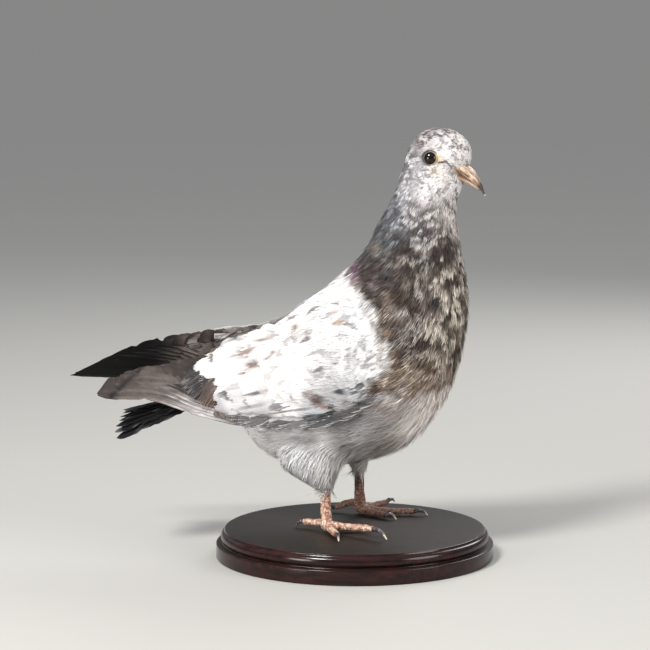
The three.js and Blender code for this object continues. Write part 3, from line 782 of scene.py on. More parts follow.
class Skin:
    """The bird's skin with what the feathers need to know at each of its points."""

    def __init__(self):
        points, faces = flesh_mesh()
        self.faces = faces
        edges = np.concatenate([faces[:, [k, (k + 1) % 4]] for k in range(4)])
        self.edges = np.unique(np.sort(edges, axis=1), axis=0)
        points = self.smoothed(points, 6)
        self.label(points)
        normals = unit(self.smoothed(vertex_normals(points, faces), 4))
        self.lay_plan(points, normals)
        self.outer_tree = tree_of(points, faces)
        self.points = self.smoothed(points - normals * self.depth[:, None], 4)
        self.normals = unit(self.smoothed(vertex_normals(self.points, faces), 3))
        self.tree = tree_of(self.points, faces)
        self.rear = (self.wing > 0.5) & (self.points[:, 0] < -84) & (self.normals[:, 1] * self.side > 0.2)

    def smoothed(self, values, times):
        a, b = self.edges.T
        flat = values.reshape(len(values), -1)
        degree = np.bincount(self.edges.ravel(), minlength=len(values))[:, None]
        for _ in range(times):
            total = np.column_stack([
                np.bincount(a, column[b], len(values)) + np.bincount(b, column[a], len(values))
                for column in flat.T
            ])
            flat = 0.4 * flat + 0.6 * total / degree
        return flat.reshape(values.shape)

    def label(self, points):
        """For each point, the kind of flesh it belongs to, and its side."""
        gaps = []
        for name in FLESH:
            tree = tree_of(*node_mesh(name))
            gaps.append([tree.find_nearest(p)[3] for p in points.tolist()])
        nearest = np.argmin(gaps, axis=0)
        self.kind = np.array([KINDS[name.split("_")[0]] for name in FLESH])[nearest]
        self.side = np.where(points[:, 1] > 0, LEFT, RIGHT)

    def lay_plan(self, points, normals):
        places = on_one_side(points)
        values = blended(PLAN, places)
        on_wing = blended(WING_PLAN, places * (1, 0, 1))
        is_wing = self.smoothed((self.kind == KINDS["wing"]).astype(float), 6)
        values = mix(values, on_wing, is_wing)
        is_thigh = self.smoothed((self.kind == KINDS["thigh"]).astype(float), 8)
        thigh = np.array([-0.35, -1.0, 1.9, 14.0, 4.4, 1.8])
        values = mix(values, thigh, is_thigh)
        self.wing = is_wing
        heading = np.column_stack([values[:, 0], np.zeros(len(points)), values[:, 1]])
        heading -= normals * (heading * normals).sum(1, keepdims=True)
        self.heading = unit(self.smoothed(unit(heading), 12))
        self.spacing, self.length, self.width, self.depth = self.smoothed(values[:, 2:], 6).T
        self.depth = self.depth + 2.2 * self.smoothed(by_bill(points).astype(float), 3)

    def at(self, places):
        """Nearest surface point, smooth normal and nearest vertex for each place."""
        found = [self.tree.find_nearest(p) for p in places.tolist()]
        spot = np.array([f[0] for f in found])
        face = np.array([f[2] for f in found])
        corner = self.faces[face]
        gap = ((self.points[corner] - spot[:, None]) ** 2).sum(-1)
        weight = 1 / (gap + 0.05)
        weight /= weight.sum(1, keepdims=True)
        normal = unit((self.normals[corner] * weight[..., None]).sum(1))
        vertex = corner[np.arange(len(corner)), gap.argmin(1)]
        return spot, normal, vertex

    def scatter(self):
        """Roots spread evenly over the skin at the plan's spacing: points and their nearest vertices."""
        corners = self.points[self.faces]
        cross = np.cross(corners[:, 2] - corners[:, 0], corners[:, 3] - corners[:, 1])
        area = np.linalg.norm(cross, axis=1) / 2
        want = TRIALS * area / self.spacing[self.faces].mean(1) ** 2
        count = rng.poisson(want)
        face = np.repeat(np.arange(len(self.faces)), count)
        s, t = rng.random((2, len(face), 1))
        quad = corners[face]
        near, far = (quad[:, a] * (1 - s) + quad[:, b] * s for a, b in ((0, 1), (3, 2)))
        spots = near * (1 - t) + far * t
        vertex = self.faces[face, 0]
        order = rng.permutation(len(spots))
        spots, vertex = spots[order], vertex[order]
        reach = self.spacing[vertex]
        tree = KDTree(len(spots))
        for i, spot in enumerate(spots.tolist()):
            tree.insert(spot, i)
        tree.balance()
        kept = np.ones(len(spots), bool)
        for i, spot in enumerate(spots.tolist()):
            if kept[i]:
                for _, other, _ in tree.find_range(spot, reach[i]):
                    if other != i:
                        kept[other] = False
        return spots[kept], vertex[kept]


SPINE_STEPS = 4


def trace(skin, roots, heading, length):
    """The way each feather lies: points on the skin from its root to its tip, with the normals there."""
    place, normal, _ = skin.at(roots)
    course = heading
    places, normals = [place], [normal]
    step = (length / SPINE_STEPS)[:, None]
    for _ in range(SPINE_STEPS):
        course = unit(course - normal * (course * normal).sum(1, keepdims=True) * 0.9)
        ahead = place + course * step
        spot, spot_normal, vertex = skin.at(ahead)
        miss = np.linalg.norm(spot - ahead, axis=1, keepdims=True)
        hold = smoothstep(0.75, 0.35, miss / step)
        place = ahead + (spot - ahead) * hold
        normal = unit(normal + (spot_normal - normal) * hold)
        course = unit(course + 0.45 * skin.heading[vertex] * hold)
        places.append(place)
        normals.append(normal)
    return np.stack(places, 1), np.stack(normals, 1)


class Plumes:
    """Feathers of one style, as flat strips side by side along a spine, all made at once.

    `places` and `normals` run along each spine, and `rise` is the height of the tips over them.
    `soft` loosens the barbs of single feathers.
    """

    def __init__(self, places, normals, width, rise, style, soft=0.0):
        count, strips = len(places), style.strips
        soft = np.broadcast_to(soft, count)[:, None]
        fringe, wild, tilt = style.fringe + 0.4 * soft, style.wild + 0.3 * soft, style.tilt + 0.05 * soft
        self.contrast = style.contrast + 0.05 * soft
        self.count, self.strips, self.rows = count, strips, style.rows
        column = (np.arange(strips) + 0.5) / strips * 2 - 1
        end = 1 - 0.35 * np.abs(column) ** 2.2 - fringe * rng.random((count, strips)) ** 1.5
        share = np.append(np.linspace(0, 1 - style.taper, style.rows - 1), 1)
        t = 0.02 + (end[..., None] - 0.02) * share
        # position along the spine
        run = np.clip(t, 0, 1) * SPINE_STEPS
        base = np.minimum(run.astype(int), SPINE_STEPS - 1)
        part = (run - base)[..., None]
        who = np.arange(count)[:, None, None]
        spine = places[who, base] * (1 - part) + places[who, base + 1] * part
        up = unit(normals[who, base] * (1 - part) + normals[who, base + 1] * part)
        ahead = unit(places[who, base + 1] - places[who, base])
        across = unit(np.cross(up, ahead))
        half = np.asarray(width)[:, None, None] / 2
        spread = half * np.minimum(1, 0.3 + 1.7 * t) * (1 + style.fan * t**2 * 2)
        drift = wild[..., None] * rng.normal(0, 1, (count, strips, 1)) * half * 0.35 * t**2
        lift = np.asarray(rise)[:, None, None] * (0.1 + 0.9 * np.clip(t, 0, 1) ** 0.9)
        lift = lift * (1 + 0.25 * rng.normal(0, 1, (count, 1, 1)) * t)
        lift = lift + wild[..., None] * rng.random((count, strips, 1)) * half * 0.35 * t**2
        lift = lift + style.dome * half * 2 * (1 - column[None, :, None] ** 2) * np.minimum(1, 2 * t)
        middle = spine + across * (column[None, :, None] * spread + drift)[..., None] + up * lift[..., None]
        thin = style.thin / strips * spread * np.where(share > 0.99, 0, 1 - 0.35 * share**2)
        roll = rng.normal(0, 1, (count, strips, 1, 1)) * tilt[..., None, None] * up
        edge = (across + roll) * thin[..., None]
        left, right = middle - edge, middle + edge
        self.points = np.concatenate([left, right[:, :, :-1]], axis=2)
        self.share = np.concatenate([t, t[:, :, :-1]], axis=2)
        self.column = np.broadcast_to(column[None, :, None], self.share.shape)
        self.roots = places[:, 0]

    def faces(self):
        rows, per_strip = self.rows, 2 * self.rows - 1
        strip = []
        for k in range(rows - 1):
            left, next_left, right = k, k + 1, rows + k
            if k == rows - 2:
                strip.append((left, right, next_left))
            else:
                strip += [(left, right, rows + k + 1), (left, rows + k + 1, next_left)]
        strip = np.array(strip)
        offset = np.arange(self.count * self.strips) * per_strip
        return (offset[:, None, None] + strip[None]).reshape(-1, 3)

    def bake_map(self, place):
        """A small patch for each feather at its root's place on the unwrapped skin."""
        patch = 0.003
        u = place[:, None, None, 0] + patch * (self.column * 0.45)
        v = place[:, None, None, 1] + patch * (self.share - 0.5) * 0.9
        return np.stack([u + np.zeros_like(v), v], -1).reshape(-1, 2)


BATCH = 60000  # points coloured at once


def tint_plumes(plumes, style, side=None, inner=None, tones=None):
    """Display level of every vertex of the feathers: the markings, each feather and strip a little its own,
    with painted shade towards the roots.

    `side` adds one wing's patches, `inner` is each feather's share of the wing's inner face, and `tones` are
    colours of single feathers and the strength of their pale rims, or NaN where the markings hold.
    """
    points = plumes.points.reshape(-1, 3)
    each = plumes.points.shape[1] * plumes.points.shape[2]
    main = np.empty((len(points), 3))
    for start in range(0, len(points), BATCH):
        part = slice(start, start + BATCH)
        own, _, _ = colour_parts(points[part])
        if side is not None:
            own = on_inner_face(points[part], own, np.repeat(inner, each)[part])
        main[part] = own
    main = main.reshape(*plumes.points.shape)
    middle = plumes.points[:, plumes.strips // 2, plumes.rows // 2]
    _, streak, share = colour_parts(middle)
    share = share * (0.15 + 2.0 * smoothstep(0.4, 0.68, noise(middle, style.cluster, 91)))
    if side is not None:
        toned = ~np.isnan(tones[:, 0])
        share = np.where(toned, 0, share * (1 - inner))
        rim = np.maximum(smoothstep(0.7, 0.95, np.abs(plumes.column)), smoothstep(0.84, 0.96, plumes.share))
        pale = mix(tones[:, None, None, :3], (216, 215, 216), rim * tones[:, None, None, 3])
        main = np.where(toned[:, None, None, None], pale, main)
        main = with_spots(points, main.reshape(-1, 3), side).reshape(*plumes.points.shape)
    grouped = noise(middle, 0.8 * style.cluster, 92).argsort().argsort() / plumes.count
    drawn = (0.7 * grouped + 0.3 * rng.random(plumes.count)).argsort().argsort() / plumes.count
    form = rng.random(plumes.count)[:, None, None]
    offset = rng.uniform(-0.5, 0.5, (plumes.count, 1, 1))
    reach = style.streak * rng.uniform(0.5, 1.4, (plumes.count, 1, 1))
    line = smoothstep(reach + 0.18, reach - 0.05, np.abs(plumes.column - offset))
    line = line * smoothstep(0.15, 0.4, plumes.share)
    tip = smoothstep(0.35, 0.7, plumes.share)
    inside = np.where(form < 0.4, line, np.where(form < 0.72, tip, 0.9)) * (drawn < share)[:, None, None]
    half_toned = (drawn >= share) & (drawn < 1.5 * share)
    inside = inside + 0.3 * half_toned[:, None, None]
    strength = rng.uniform(0.6, 1.0, (plumes.count, 1, 1))
    colours = mix(main, streak[:, None, None], inside * strength)
    contrast = plumes.contrast[..., None]
    level = 1 + contrast * 0.5 * rng.normal(0, 1, (plumes.count, 1, 1))
    level = level * (1 + contrast * rng.normal(0, 1, (plumes.count, plumes.strips, 1)))
    # painted shade: each feather darker towards its root, where the next one covers it
    shade = 1 - style.root * smoothstep(0.45, 0.0, plumes.share)
    room = (255 - colours.mean(-1)) / 255
    keep = 1 + (level - 1) * np.clip(0.2 + 1.1 * room, 0.2, 1.2)
    return np.clip(colours * (keep * shade)[..., None], 6, BRIGHTEST)


# ------------------------------------------------------------------ the coat

# How the feathers of each piece of the coat are made. `strips` and `rows` divide a feather, `fringe` is how
# ragged its end is, `taper` how much of a strip runs to a point, `fan` how far the strips spread, `dome` the
# feather's crown, `wild` how unevenly the strips lie, `tilt` how far they roll and `thin` how broad they are.
# `streak` is the breadth of a streak, `contrast` the difference between strips, `root` how much painted shade
# darkens a feather where the next one covers it, and `cluster` how broad the groups of streaked feathers are.
Style = namedtuple("Style", "strips rows fringe taper fan dome wild tilt thin streak contrast root cluster")
WING_STYLE = Style(26, 5, 0.06, 0.05, 0.04, 0.05, 0.04, 0.03, 1.7, 0.5, 0.03, 0.3, 8.0)
STYLES = {
    "head": Style(6, 4, 0.5, 0.3, 0.1, 0.03, 0.12, 0.08, 1.2, 0.8, 0.07, 0.12, 3.4),
    "neck": Style(9, 4, 0.5, 0.3, 0.14, 0.05, 0.35, 0.16, 1.0, 0.6, 0.17, 0.15, 4.0),
    "breast": Style(12, 4, 0.5, 0.3, 0.24, 0.05, 0.5, 0.18, 1.0, 0.55, 0.24, 0.15, 6.0),
    "belly": Style(12, 4, 0.6, 0.3, 0.3, 0.04, 0.65, 0.14, 0.9, 0.4, 0.08, 0.08, 9.0),
    "back": Style(20, 5, 0.2, 0.12, 0.06, 0.06, 0.14, 0.06, 1.5, 0.4, 0.05, 0.25, 9.0),
    "thighs": Style(9, 5, 0.65, 0.3, 0.35, 0.04, 0.9, 0.2, 0.7, 0.5, 0.18, 0.2, 5.0),
    "wing_right": WING_STYLE,
    "wing_left": WING_STYLE,
}

CovertRows = namedtuple("CovertRows", "places normals width rise soft tones")


def covert_rows(face):
    """The last coverts of a wing, and the white and dark feathers over the roots of its flight feathers."""
    dark = [(-102, 0.08), (-110, 0.24), (-116, 0.42), (-120, 0.6), (-120, 0.78), (-115, 0.9)]
    rear = [(-88, 0.93), (-102, 0.93), (-113, 0.9), (-116, 0.82), (-112, 0.72), (-103, 0.68), (-97, 0.58),
            (-90, 0.4), (-84, 0.23)]
    greater = [(-97, 0.36), (-84, 0.3), (-70, 0.25), (-56, 0.22)]
    lower = [(-80, 0.2), (-62, 0.19), (-46, 0.18), (-34, 0.18)]
    edge = [(-92, 0.06), (-62, 0.05), (-30, 0.05), (2, 0.06)]
    right = face.side == RIGHT
    slate = (62, 59, 60, 0.35) if right else (96, 89, 86, 0.4)
    white = (np.nan,) * 4
    # tips (along the bird, share of the wing's height), how many, shift forward, length, slope, width,
    # depth below the face at the root, looseness, colour and strength of the rim
    rows = [
        (dark, 18, -5, 34, 8, 10.5, 1.9, 0.6, slate),
        (rear, 25, 0, 26, 13, 11.5, 0.9, 0.03, white),
        (rear, 18, 12, 26, 14, 11.5, 0.9, 0.03, white),
        (edge, 22, 0, 22, 12, 7.0, 0.9, 0.8, (86, 83, 83, 0.75)),
        (lower, 9, 0, 28, 10, 8.0, 0.9, 0.15, white),
        (greater, 12, 0, 18, 18, 6.0, 0.9, 0.6, (118, 114, 117, 0.7)),
    ]
    places, width, rise, soft, tones = [], [], [], [], []
    for outline, count, shift, length, slope, breadth, below, loose, colour in rows:
        tips = np.array(outline, float)
        steps = np.hypot(np.diff(tips[:, 0]), 60 * np.diff(tips[:, 1]))
        run = np.append(0, np.cumsum(steps))
        for spot in np.linspace(0, run[-1], count) + rng.normal(0, 0.6, count):
            x_tip, height = np.interp(spot, run, tips[:, 0]), np.interp(spot, run, tips[:, 1])
            if not right:
                x_tip -= 6 * smoothstep(-60, -100, x_tip)
            x_tip += shift + rng.normal(0, 0.8)
            low, high = face.edges(x_tip)
            along = spot / run[-1]
            hang = 44 * (1 - along) if outline is dark else 0
            turn = math.radians(slope + hang + rng.normal(0, 3))
            share = np.linspace(0, 1, SPINE_STEPS + 1)
            x = x_tip + length * math.cos(turn) * (1 - share)
            z = low + height * (high - low) + length * math.sin(turn) * (1 - share) ** (0.75 if hang else 1.2)
            depth = below + (1.0 * along if hang else 0)
            places.append(face.lay(x, np.minimum(z, face.edges(x)[1] - (2 if right else 5)), -depth))
            width.append(breadth * rng.uniform(0.88, 1.1))
            rise.append(rng.uniform(1.9, 2.5) if below < 1.5 else 1.6 + 0.6 * along)
            soft.append(loose)
            tone = np.array(colour) * np.append(np.full(3, rng.uniform(0.8, 1.2)), 1)
            if hang and right:
                tone[:3] = mix((88, 70, 62), tone[:3], smoothstep(0.05, 0.3, along))
            tones.append(tone)
    normals = np.tile(unit(np.array([-0.12, face.side, 0.15])), (len(places), SPINE_STEPS + 1, 1))
    return CovertRows(*(np.array(column) for column in (places, normals, width, rise, soft, tones)))


def coat_part(skin, spots, vertex):
    """The name of the coat piece that each root belongs to."""
    own = straightened(spots)
    z = own[:, 2]
    part = np.where(z > 243, "head", np.where(z > 186, "neck", "breast")).astype(object)
    kind = skin.kind[vertex]
    low = (spots[:, 2] < 97) & (z < 186)
    edge = np.interp(spots[:, 2], *BORDER.T)
    behind = (spots[:, 0] < edge - 1) & (z < 190)
    part[low] = "belly"
    part[behind & ~low] = "back"
    part[kind == KINDS["thigh"]] = "thighs"
    wing = (kind == KINDS["wing"]) & (spots[:, 0] < edge + 2)
    part[wing & (spots[:, 1] < 0)] = "wing_right"
    part[wing & (spots[:, 1] > 0)] = "wing_left"
    return part


def inset(part):
    """A place on a bake map, kept a little clear of the map's border."""
    return 0.02 + 0.96 * part


def unwrapped(name, roots):
    """Places from 0 to 1 of the roots on an unwrap of the skin: round the body, and along it."""
    x, y, z = roots.T
    if name.startswith("wing"):
        low, high = roots.min(0), roots.max(0)
        return inset((roots - low)[:, [0, 2]] / (high - low)[[0, 2]])
    if name in ("belly", "back"):
        turn = np.arctan2(y, 105 - z if name == "belly" else z - 90)
        along = x
    else:
        turn = np.arctan2(y, x - roots[:, 0].mean())
        along = z
    part = (along - along.min()) / (along.max() - along.min())
    return inset(np.column_stack([turn / (2 * np.pi) + 0.5, part]))


def add_coat(skin):
    spots, vertex = skin.scatter()
    open_skin = bare(spots, -0.5) | by_bill(spots)
    clear = ~(open_skin | skin.rear[vertex])
    spots, vertex = spots[clear], vertex[clear]
    part = coat_part(skin, spots, vertex)
    for name, style in STYLES.items():
        chosen = part == name
        roots, near = spots[chosen], vertex[chosen]
        on_wing = name.startswith("wing")
        turn = rng.normal(0, 0.1 if on_wing or name == "back" else 0.22, len(roots))
        normal = skin.normals[near]
        course = skin.heading[near]
        course = course * np.cos(turn)[:, None] + np.cross(normal, course) * np.sin(turn)[:, None]
        length = skin.length[near] * rng.uniform(0.85, 1.15, len(roots))
        width = skin.width[near] * rng.uniform(0.85, 1.15, len(roots))
        rise = skin.depth[near] * rng.uniform(0.8, 1.05, len(roots))
        places, normals = trace(skin, roots, course, length)
        if name == "head":
            # the feathers that would reach over the bare skin are made short, and laid again
            over = bare(places[:, -1], -0.9)
            length = np.where(over, length * 0.45, length)
            places, normals = trace(skin, roots, course, length)
        if on_wing:
            side_name = name.split("_")[1]
            side = SIDES[side_name]
            face = WingFace(side_name)
            rows = covert_rows(face)
            # partly painted shade: the inner face, and the far wing's top edge, take the plain grey-brown of
            # the shaded gap
            inner = smoothstep(-0.15, -0.5, normal[:, 1] * side) * smoothstep(-55, -85, roots[:, 0])
            if side == LEFT:
                top = roots[:, 2] - face.edges(roots[:, 0])[1]
                inner = np.maximum(inner, smoothstep(-10, -4, top) * smoothstep(-50, -64, roots[:, 0]))
            inner = np.append(inner, np.zeros(len(rows.width)))
            tones = np.concatenate([np.full((len(roots), 4), np.nan), rows.tones])
            places = np.concatenate([places, rows.places])
            normals = np.concatenate([normals, rows.normals])
            width = np.append(width, rows.width)
            rise = np.append(rise, rows.rise)
            loose = np.maximum(smoothstep(-42, -12, roots[:, 0]), 0.9 * inner[:len(roots)])
            soft = np.append(loose, rows.soft)
            plumes = Plumes(places, normals, width, rise, style, soft)
            colours = tint_plumes(plumes, style, side, inner, tones)
        else:
            plumes = Plumes(places, normals, width, rise, style)
            colours = tint_plumes(plumes, style)
        maps = {"OFBake": plumes.bake_map(unwrapped(name, plumes.roots))}
        add_piece("coat_" + name, plumes.points, plumes.faces(), PLUMAGE, (), colours, maps)


def add_skin(skin):
    main, streak, share = colour_parts(skin.points)
    # partly painted shade: the inner faces of the wings take the plain grey-brown of the shaded gap
    inward = smoothstep(-0.15, -0.5, skin.normals[:, 1] * skin.side) * skin.wing
    inward = inward * smoothstep(-55, -85, skin.points[:, 0])
    # painted shade: the skin under the coat is made a fifth darker, as shade beneath the feathers
    colours = on_inner_face(skin.points, mix(main, streak, share * 0.5), inward) * 0.8
    fleshy = skin.smoothed(by_bill(skin.points).astype(float), 2)
    colours = mix(colours, (158, 130, 108), fleshy * 0.9)
    add_piece("skin", skin.points, skin.faces, PLUMAGE, FLESH, colours)


# ------------------------------------------------------------------ flight and tail feathers


CAMBER, RIDGE = 0.05, 0.35  # how far a blade curves down to its edges, and how high its shaft stands
SPLITS = 4  # gaps in the edges of a blade


def vane(middle, normals, half_low, half_high, columns, ragged, lag=0.35):
    """Points of feather blades as rows by columns, from the lower to the upper web.

    `middle` and `normals` run along the shaft. The barbs sweep towards the tip by `lag` of the web's breadth.
    """
    rows = len(middle)
    ahead = unit(np.gradient(middle, axis=0))
    across = unit(np.cross(normals, ahead))
    column = np.linspace(-1, 1, columns)
    column = np.sign(column) * np.abs(column) ** 0.85
    rough = 1 - ragged * rng.random((rows, 2)) ** 2
    for _ in range(SPLITS):
        row, web = rng.integers(rows // 3, rows - 2), rng.integers(0, 2)
        rough[row, web] *= rng.uniform(0.55, 0.8)
    half = np.where(column < 0, half_low[:, None] * rough[:, :1], half_high[:, None] * rough[:, 1:])
    offset = column[None] * half
    points = middle[:, None] + across[:, None] * offset[..., None]
    points += ahead[:, None] * (lag * np.abs(offset))[..., None]
    arch = -CAMBER * offset**2 / np.maximum(half.max(), 1) + RIDGE * bell(offset, 0, 0.6)
    points += normals[:, None] * arch[..., None]
    return points, column


def blade_profile(rows, taper, narrow_root=0.3):
    """How broad a flight feather is along its length: full, then running to a bluntly pointed tip."""
    t = np.linspace(0, 1, rows)
    point = 1 - np.clip((t - (1 - taper)) / taper, 0, 1) ** 2.2
    return t, np.minimum(1, narrow_root + 2.5 * t) * np.maximum(point, 0.04)


class Blades:
    """Gathers feather blades into one mesh, with their colours and their places on the bake map."""

    def __init__(self, total):
        self.total = total
        self.points, self.faces, self.colours, self.uv, self.barb = [], [], [], [], []
        self.count, self.index = 0, 0

    def add(self, points, column, colours):
        rows, columns = points.shape[:2]
        grid = np.arange(rows * columns).reshape(rows, columns) + self.count
        quads = np.stack([grid[:-1, :-1], grid[:-1, 1:], grid[1:, 1:], grid[1:, :-1]], -1).reshape(-1, 4)
        run = np.linspace(0, 1, rows)
        u = (self.index + 0.08 + 0.84 * (column + 1) / 2) / self.total
        uv = np.stack(np.broadcast_arrays(u[None], inset(run[:, None])), -1)
        reach = np.linalg.norm(np.diff(points[:, columns // 2], axis=0), axis=-1).sum()
        barb = np.stack(np.broadcast_arrays(column[None], run[:, None] * reach), -1)
        self.points.append(points.reshape(-1, 3))
        self.faces.append(quads)
        self.colours.append(np.broadcast_to(colours, points.shape).reshape(-1, 3))
        self.uv.append(uv.reshape(-1, 2))
        self.barb.append(barb.reshape(-1, 2))
        self.count += rows * columns
        self.index += 1

    def build(self, name, node):
        maps = {"OFBake": np.concatenate(self.uv), "Barbs": np.concatenate(self.barb)}
        levels = np.maximum(np.concatenate(self.colours), 5)
        points, faces = np.concatenate(self.points), np.concatenate(self.faces)
        add_piece(name, points, faces, FLIGHT, [node], levels, maps)


def vane_material():
    """Flight feathers: the stored marking, with fine barbs slanting from the shaft, and pale patches that are
    partly frayed barbs and partly painted sheen.
    """
    material, shader, nodes = new_material("flight_feathers", (0.1, 0.1, 0.1), 0.5)
    place = nodes.add("ShaderNodeUVMap", uv_map="Barbs").outputs["UV"]
    across, along, _ = nodes.add("ShaderNodeSeparateXYZ", {0: place}).outputs
    slant = nodes.math("SUBTRACT", along, nodes.math("MULTIPLY", nodes.math("ABSOLUTE", across), 4.0))
    line = nodes.add("ShaderNodeCombineXYZ", {0: nodes.math("MULTIPLY", across, 1.2), 1: slant}).outputs[0]
    barbs = nodes.noise(1.6, 3.0, line, 0.7)
    fray_and_sheen = nodes.noise(0.35, 2.0, line, 0.6)
    marking = nodes.marking()
    tint = nodes.shaded(marking, nodes.span(barbs, 0.25, 0.75, 0.78, 1.2))
    # partly painted sheen: pale patches where the barbs fray
    pale = nodes.mixed(1.0, marking, (1.9, 1.9, 1.95), "MULTIPLY")
    nodes.link(nodes.mixed(nodes.span(fray_and_sheen, 0.58, 0.75, 0, 0.4), tint, pale), shader.inputs["Base Color"])
    nodes.link(nodes.span(barbs, 0.3, 0.7, 0.42, 0.6), shader.inputs["Roughness"])
    nodes.link(nodes.bump(barbs, 0.0002, 0.6), shader.inputs["Normal"])
    shader.inputs["Specular IOR Level"].default_value = 0.16
    return material


class WingFace:
    """The outer face of a folded wing, by place along the bird and height between its two edges."""

    def __init__(self, side_name):
        self.side = SIDES[side_name]
        arm, arm_faces = node_mesh("wing_" + side_name)
        hand, hand_faces = node_mesh("primaries_" + side_name)
        points = np.concatenate([arm, hand])
        faces = np.concatenate([arm_faces, hand_faces + len(arm)])
        self.tree = tree_of(points, faces)
        self.x = np.arange(points[:, 0].min() + 0.5, points[:, 0].max(), 3.0)
        corner = points[faces]
        self.low, self.high = np.empty((2, len(self.x)))
        for i, x in enumerate(self.x):
            a, b = corner[:, [0, 1, 2]], corner[:, [1, 2, 0]]
            share = (x - a[..., 0]) / np.where(a[..., 0] == b[..., 0], 1, b[..., 0] - a[..., 0])
            crossed = (share >= 0) & (share <= 1) & (a[..., 0] != b[..., 0])
            crossing = (a + (b - a) * share[..., None])[crossed]
            self.low[i], self.high[i] = crossing[:, 2].min(), crossing[:, 2].max()

    def edges(self, x):
        return np.interp(x, self.x, self.low), np.interp(x, self.x, self.high)

    def lay(self, x, z, layer):
        """Points on the face at (x, z), `layer` out from it, with the face's smooth normals."""
        spots = []
        for a, b in zip(x.tolist(), z.tolist()):
            hit = self.tree.ray_cast((a, 120.0 * self.side, b), (0, -self.side, 0))[0]
            if hit is None:
                hit = self.tree.find_nearest((a, 40.0 * self.side, b))[0]
            spots.append(hit[1])
        return np.column_stack([x, evened(spots, 3) + layer * self.side, z])


# How far back the white feathers of a wing reach: height, and place along the bird.
WHITE_EDGE = np.array([(86, -80), (92, -86), (99, -93), (107, -96), (113, -99), (116, -107), (121, -112),
                       (128, -110), (134, -100)], float)


WING_SLOTS = 26  # strips on the bake map of a wing, one for each blade


def wing_feathers(side_name):
    """The long feathers of a folded wing, from the outermost of the hand up to the broad innermost ones."""
    face = WingFace(side_name)
    side = SIDES[side_name]
    right = side == RIGHT
    blades = Blades(WING_SLOTS)
    end = face.x[0] + 0.5
    # how far each tip lies ahead of the wing's end, and its height between the wing's edges
    if right:
        tips = [1, 0.5, 4, 10, 20, 29, 38, 47, 56, 64, 70]
        heights = [0.28, 0.62, 0.8, 0.82, 0.82, 0.82, 0.82, 0.82, 0.82, 0.82, 0.8]
    else:
        tips = [15, 0.5, 4, 11, 19, 28, 37, 46, 56, 66, 76, 86, 96, 106]
        heights = [0.1, 0.45, 0.62, 0.75, 0.83, 0.86, 0.87, 0.87, 0.87, 0.87, 0.87, 0.87, 0.87, 0.85]
    for i, (tip, height) in enumerate(zip(tips, heights)):
        rows = 40
        t, profile = blade_profile(rows, 0.12 if right and i < 3 else 0.22)
        x_tip, x_root = end + tip, -46 - 2 * i
        x = x_root + (x_tip - x_root) * t
        low = face.edges(x)[0]
        half = (5.0 + 0.25 * i) if right else (4.2 + 0.2 * i)
        if not right and i < 2:
            half = 3.6
        rise = 3.5 + (2.3 if right else 2.6) * i
        tip_low, tip_high = face.edges(x_tip)
        blend = smoothstep(0.35, 1.0, t) ** 1.3
        z = (low + rise) * (1 - blend) + (tip_low + height * (tip_high - tip_low)) * blend
        reach = np.interp(z - (0 if right else 8), *WHITE_EDGE.T)
        under = smoothstep(-7, 3, x - (0 if right else -7) - reach)
        middle = face.lay(x, z, -1.9 + (0.14 if right else 0.12) * i - (1.6 + 0.12 * i) * under)
        normals = np.tile(unit(np.array([-0.15, side, 0.15])), (rows, 1))
        low_web, high_web = half * 0.62 * profile, half * 1.8 * profile
        turned = (high_web, low_web) if right else (low_web, high_web)
        points, column = vane(middle, normals, *turned, 13, 0.14 if i < 4 else 0.08)
        blades.add(points, column, flight_colours(points, column, t, i, side))
    blades.build("flight_" + side_name, "primaries_" + side_name)


def flight_colours(points, column, t, index, side):
    """Grey webs with a dark edge and shaft, a painted highlight along one web, browner and darker towards
    tips frayed by wear.
    On the near wing, a painted shadow where the feathers above end.
    """
    upper = column if side == LEFT else -column
    x = points[..., 0]
    if side == LEFT:
        near, far, brown, dark = np.array([(104.0, 94, 89), (7, 6, 6), (70, 61, 57), (4, 4, 4)])
        base = mix(near, far, smoothstep(-118, -162, x))
        brown = mix(brown, far, smoothstep(-125, -160, x))
        pale = mix(near * 1.5, far * 1.8, smoothstep(-120, -160, x))
    else:
        near, far, brown, dark = np.array([(162.0, 157, 157), (100, 90, 86), (42, 35, 32), (14, 12, 12)])
        near = mix(near, (50, 43, 40), smoothstep(2.5, 5.0, index))
        base = mix(near, far * (0.6 if index > 4 else 1.0), smoothstep(-110, -160, x))
        brown = mix(brown, base * 0.85, 0.4)
        pale = base * 1.1
    colours = mix(base, brown, smoothstep(-0.15, 0.45, upper)[None] * 0.75)
    # painted highlight: a pale line along one web of each feather, where its edge would catch the light
    light = smoothstep(0.2, 0.05, np.abs(upper + 0.7))[None]
    colours = layered(
        colours,
        (pale, light * 0.6 * (1 - 0.7 * smoothstep(0.6, 0.95, t)[:, None])),
        (dark, smoothstep(0.84, 0.99, t)[:, None] * 0.5),
    )
    lined = 1.0 if side == LEFT or index > 3 else 0.45
    edge = smoothstep(-0.8, -0.95, upper)[None]
    colours = mix(colours, dark * 0.8, edge * 0.9 * lined)
    shaft = smoothstep(0.08, 0.02, np.abs(column))[None]
    colours = mix(colours, dark * 0.9, shaft * 0.6 * lined)
    if side == RIGHT:
        # painted shadow: a dark band where the feathers above end; the brown of the ends beyond it is their
        # own
        past_step = 1.06 * (points[..., 2] - 97) - (x + 175)
        colours = layered(
            colours,
            ((54, 46, 43), smoothstep(-2, 1.5, past_step) * 0.7),
            (dark, smoothstep(3.0, 1.2, np.abs(past_step + 2.2)) * 0.8),
        )
    cloud = noise(points, (24.0, 6.0, 2.2), 21 + index)
    wear_and_painted_reflection = smoothstep(0.62, 0.8, noise(points, (5.0, 4.0, 2.0), 31 + index)) * 0.16
    barbs = rng.uniform(0.9, 1.1, (len(t), 1, 1))
    return colours * (0.74 + 0.5 * cloud)[..., None] * barbs + (60 * wear_and_painted_reflection * (side == RIGHT))[..., None]


TAIL_FEATHERS = 12


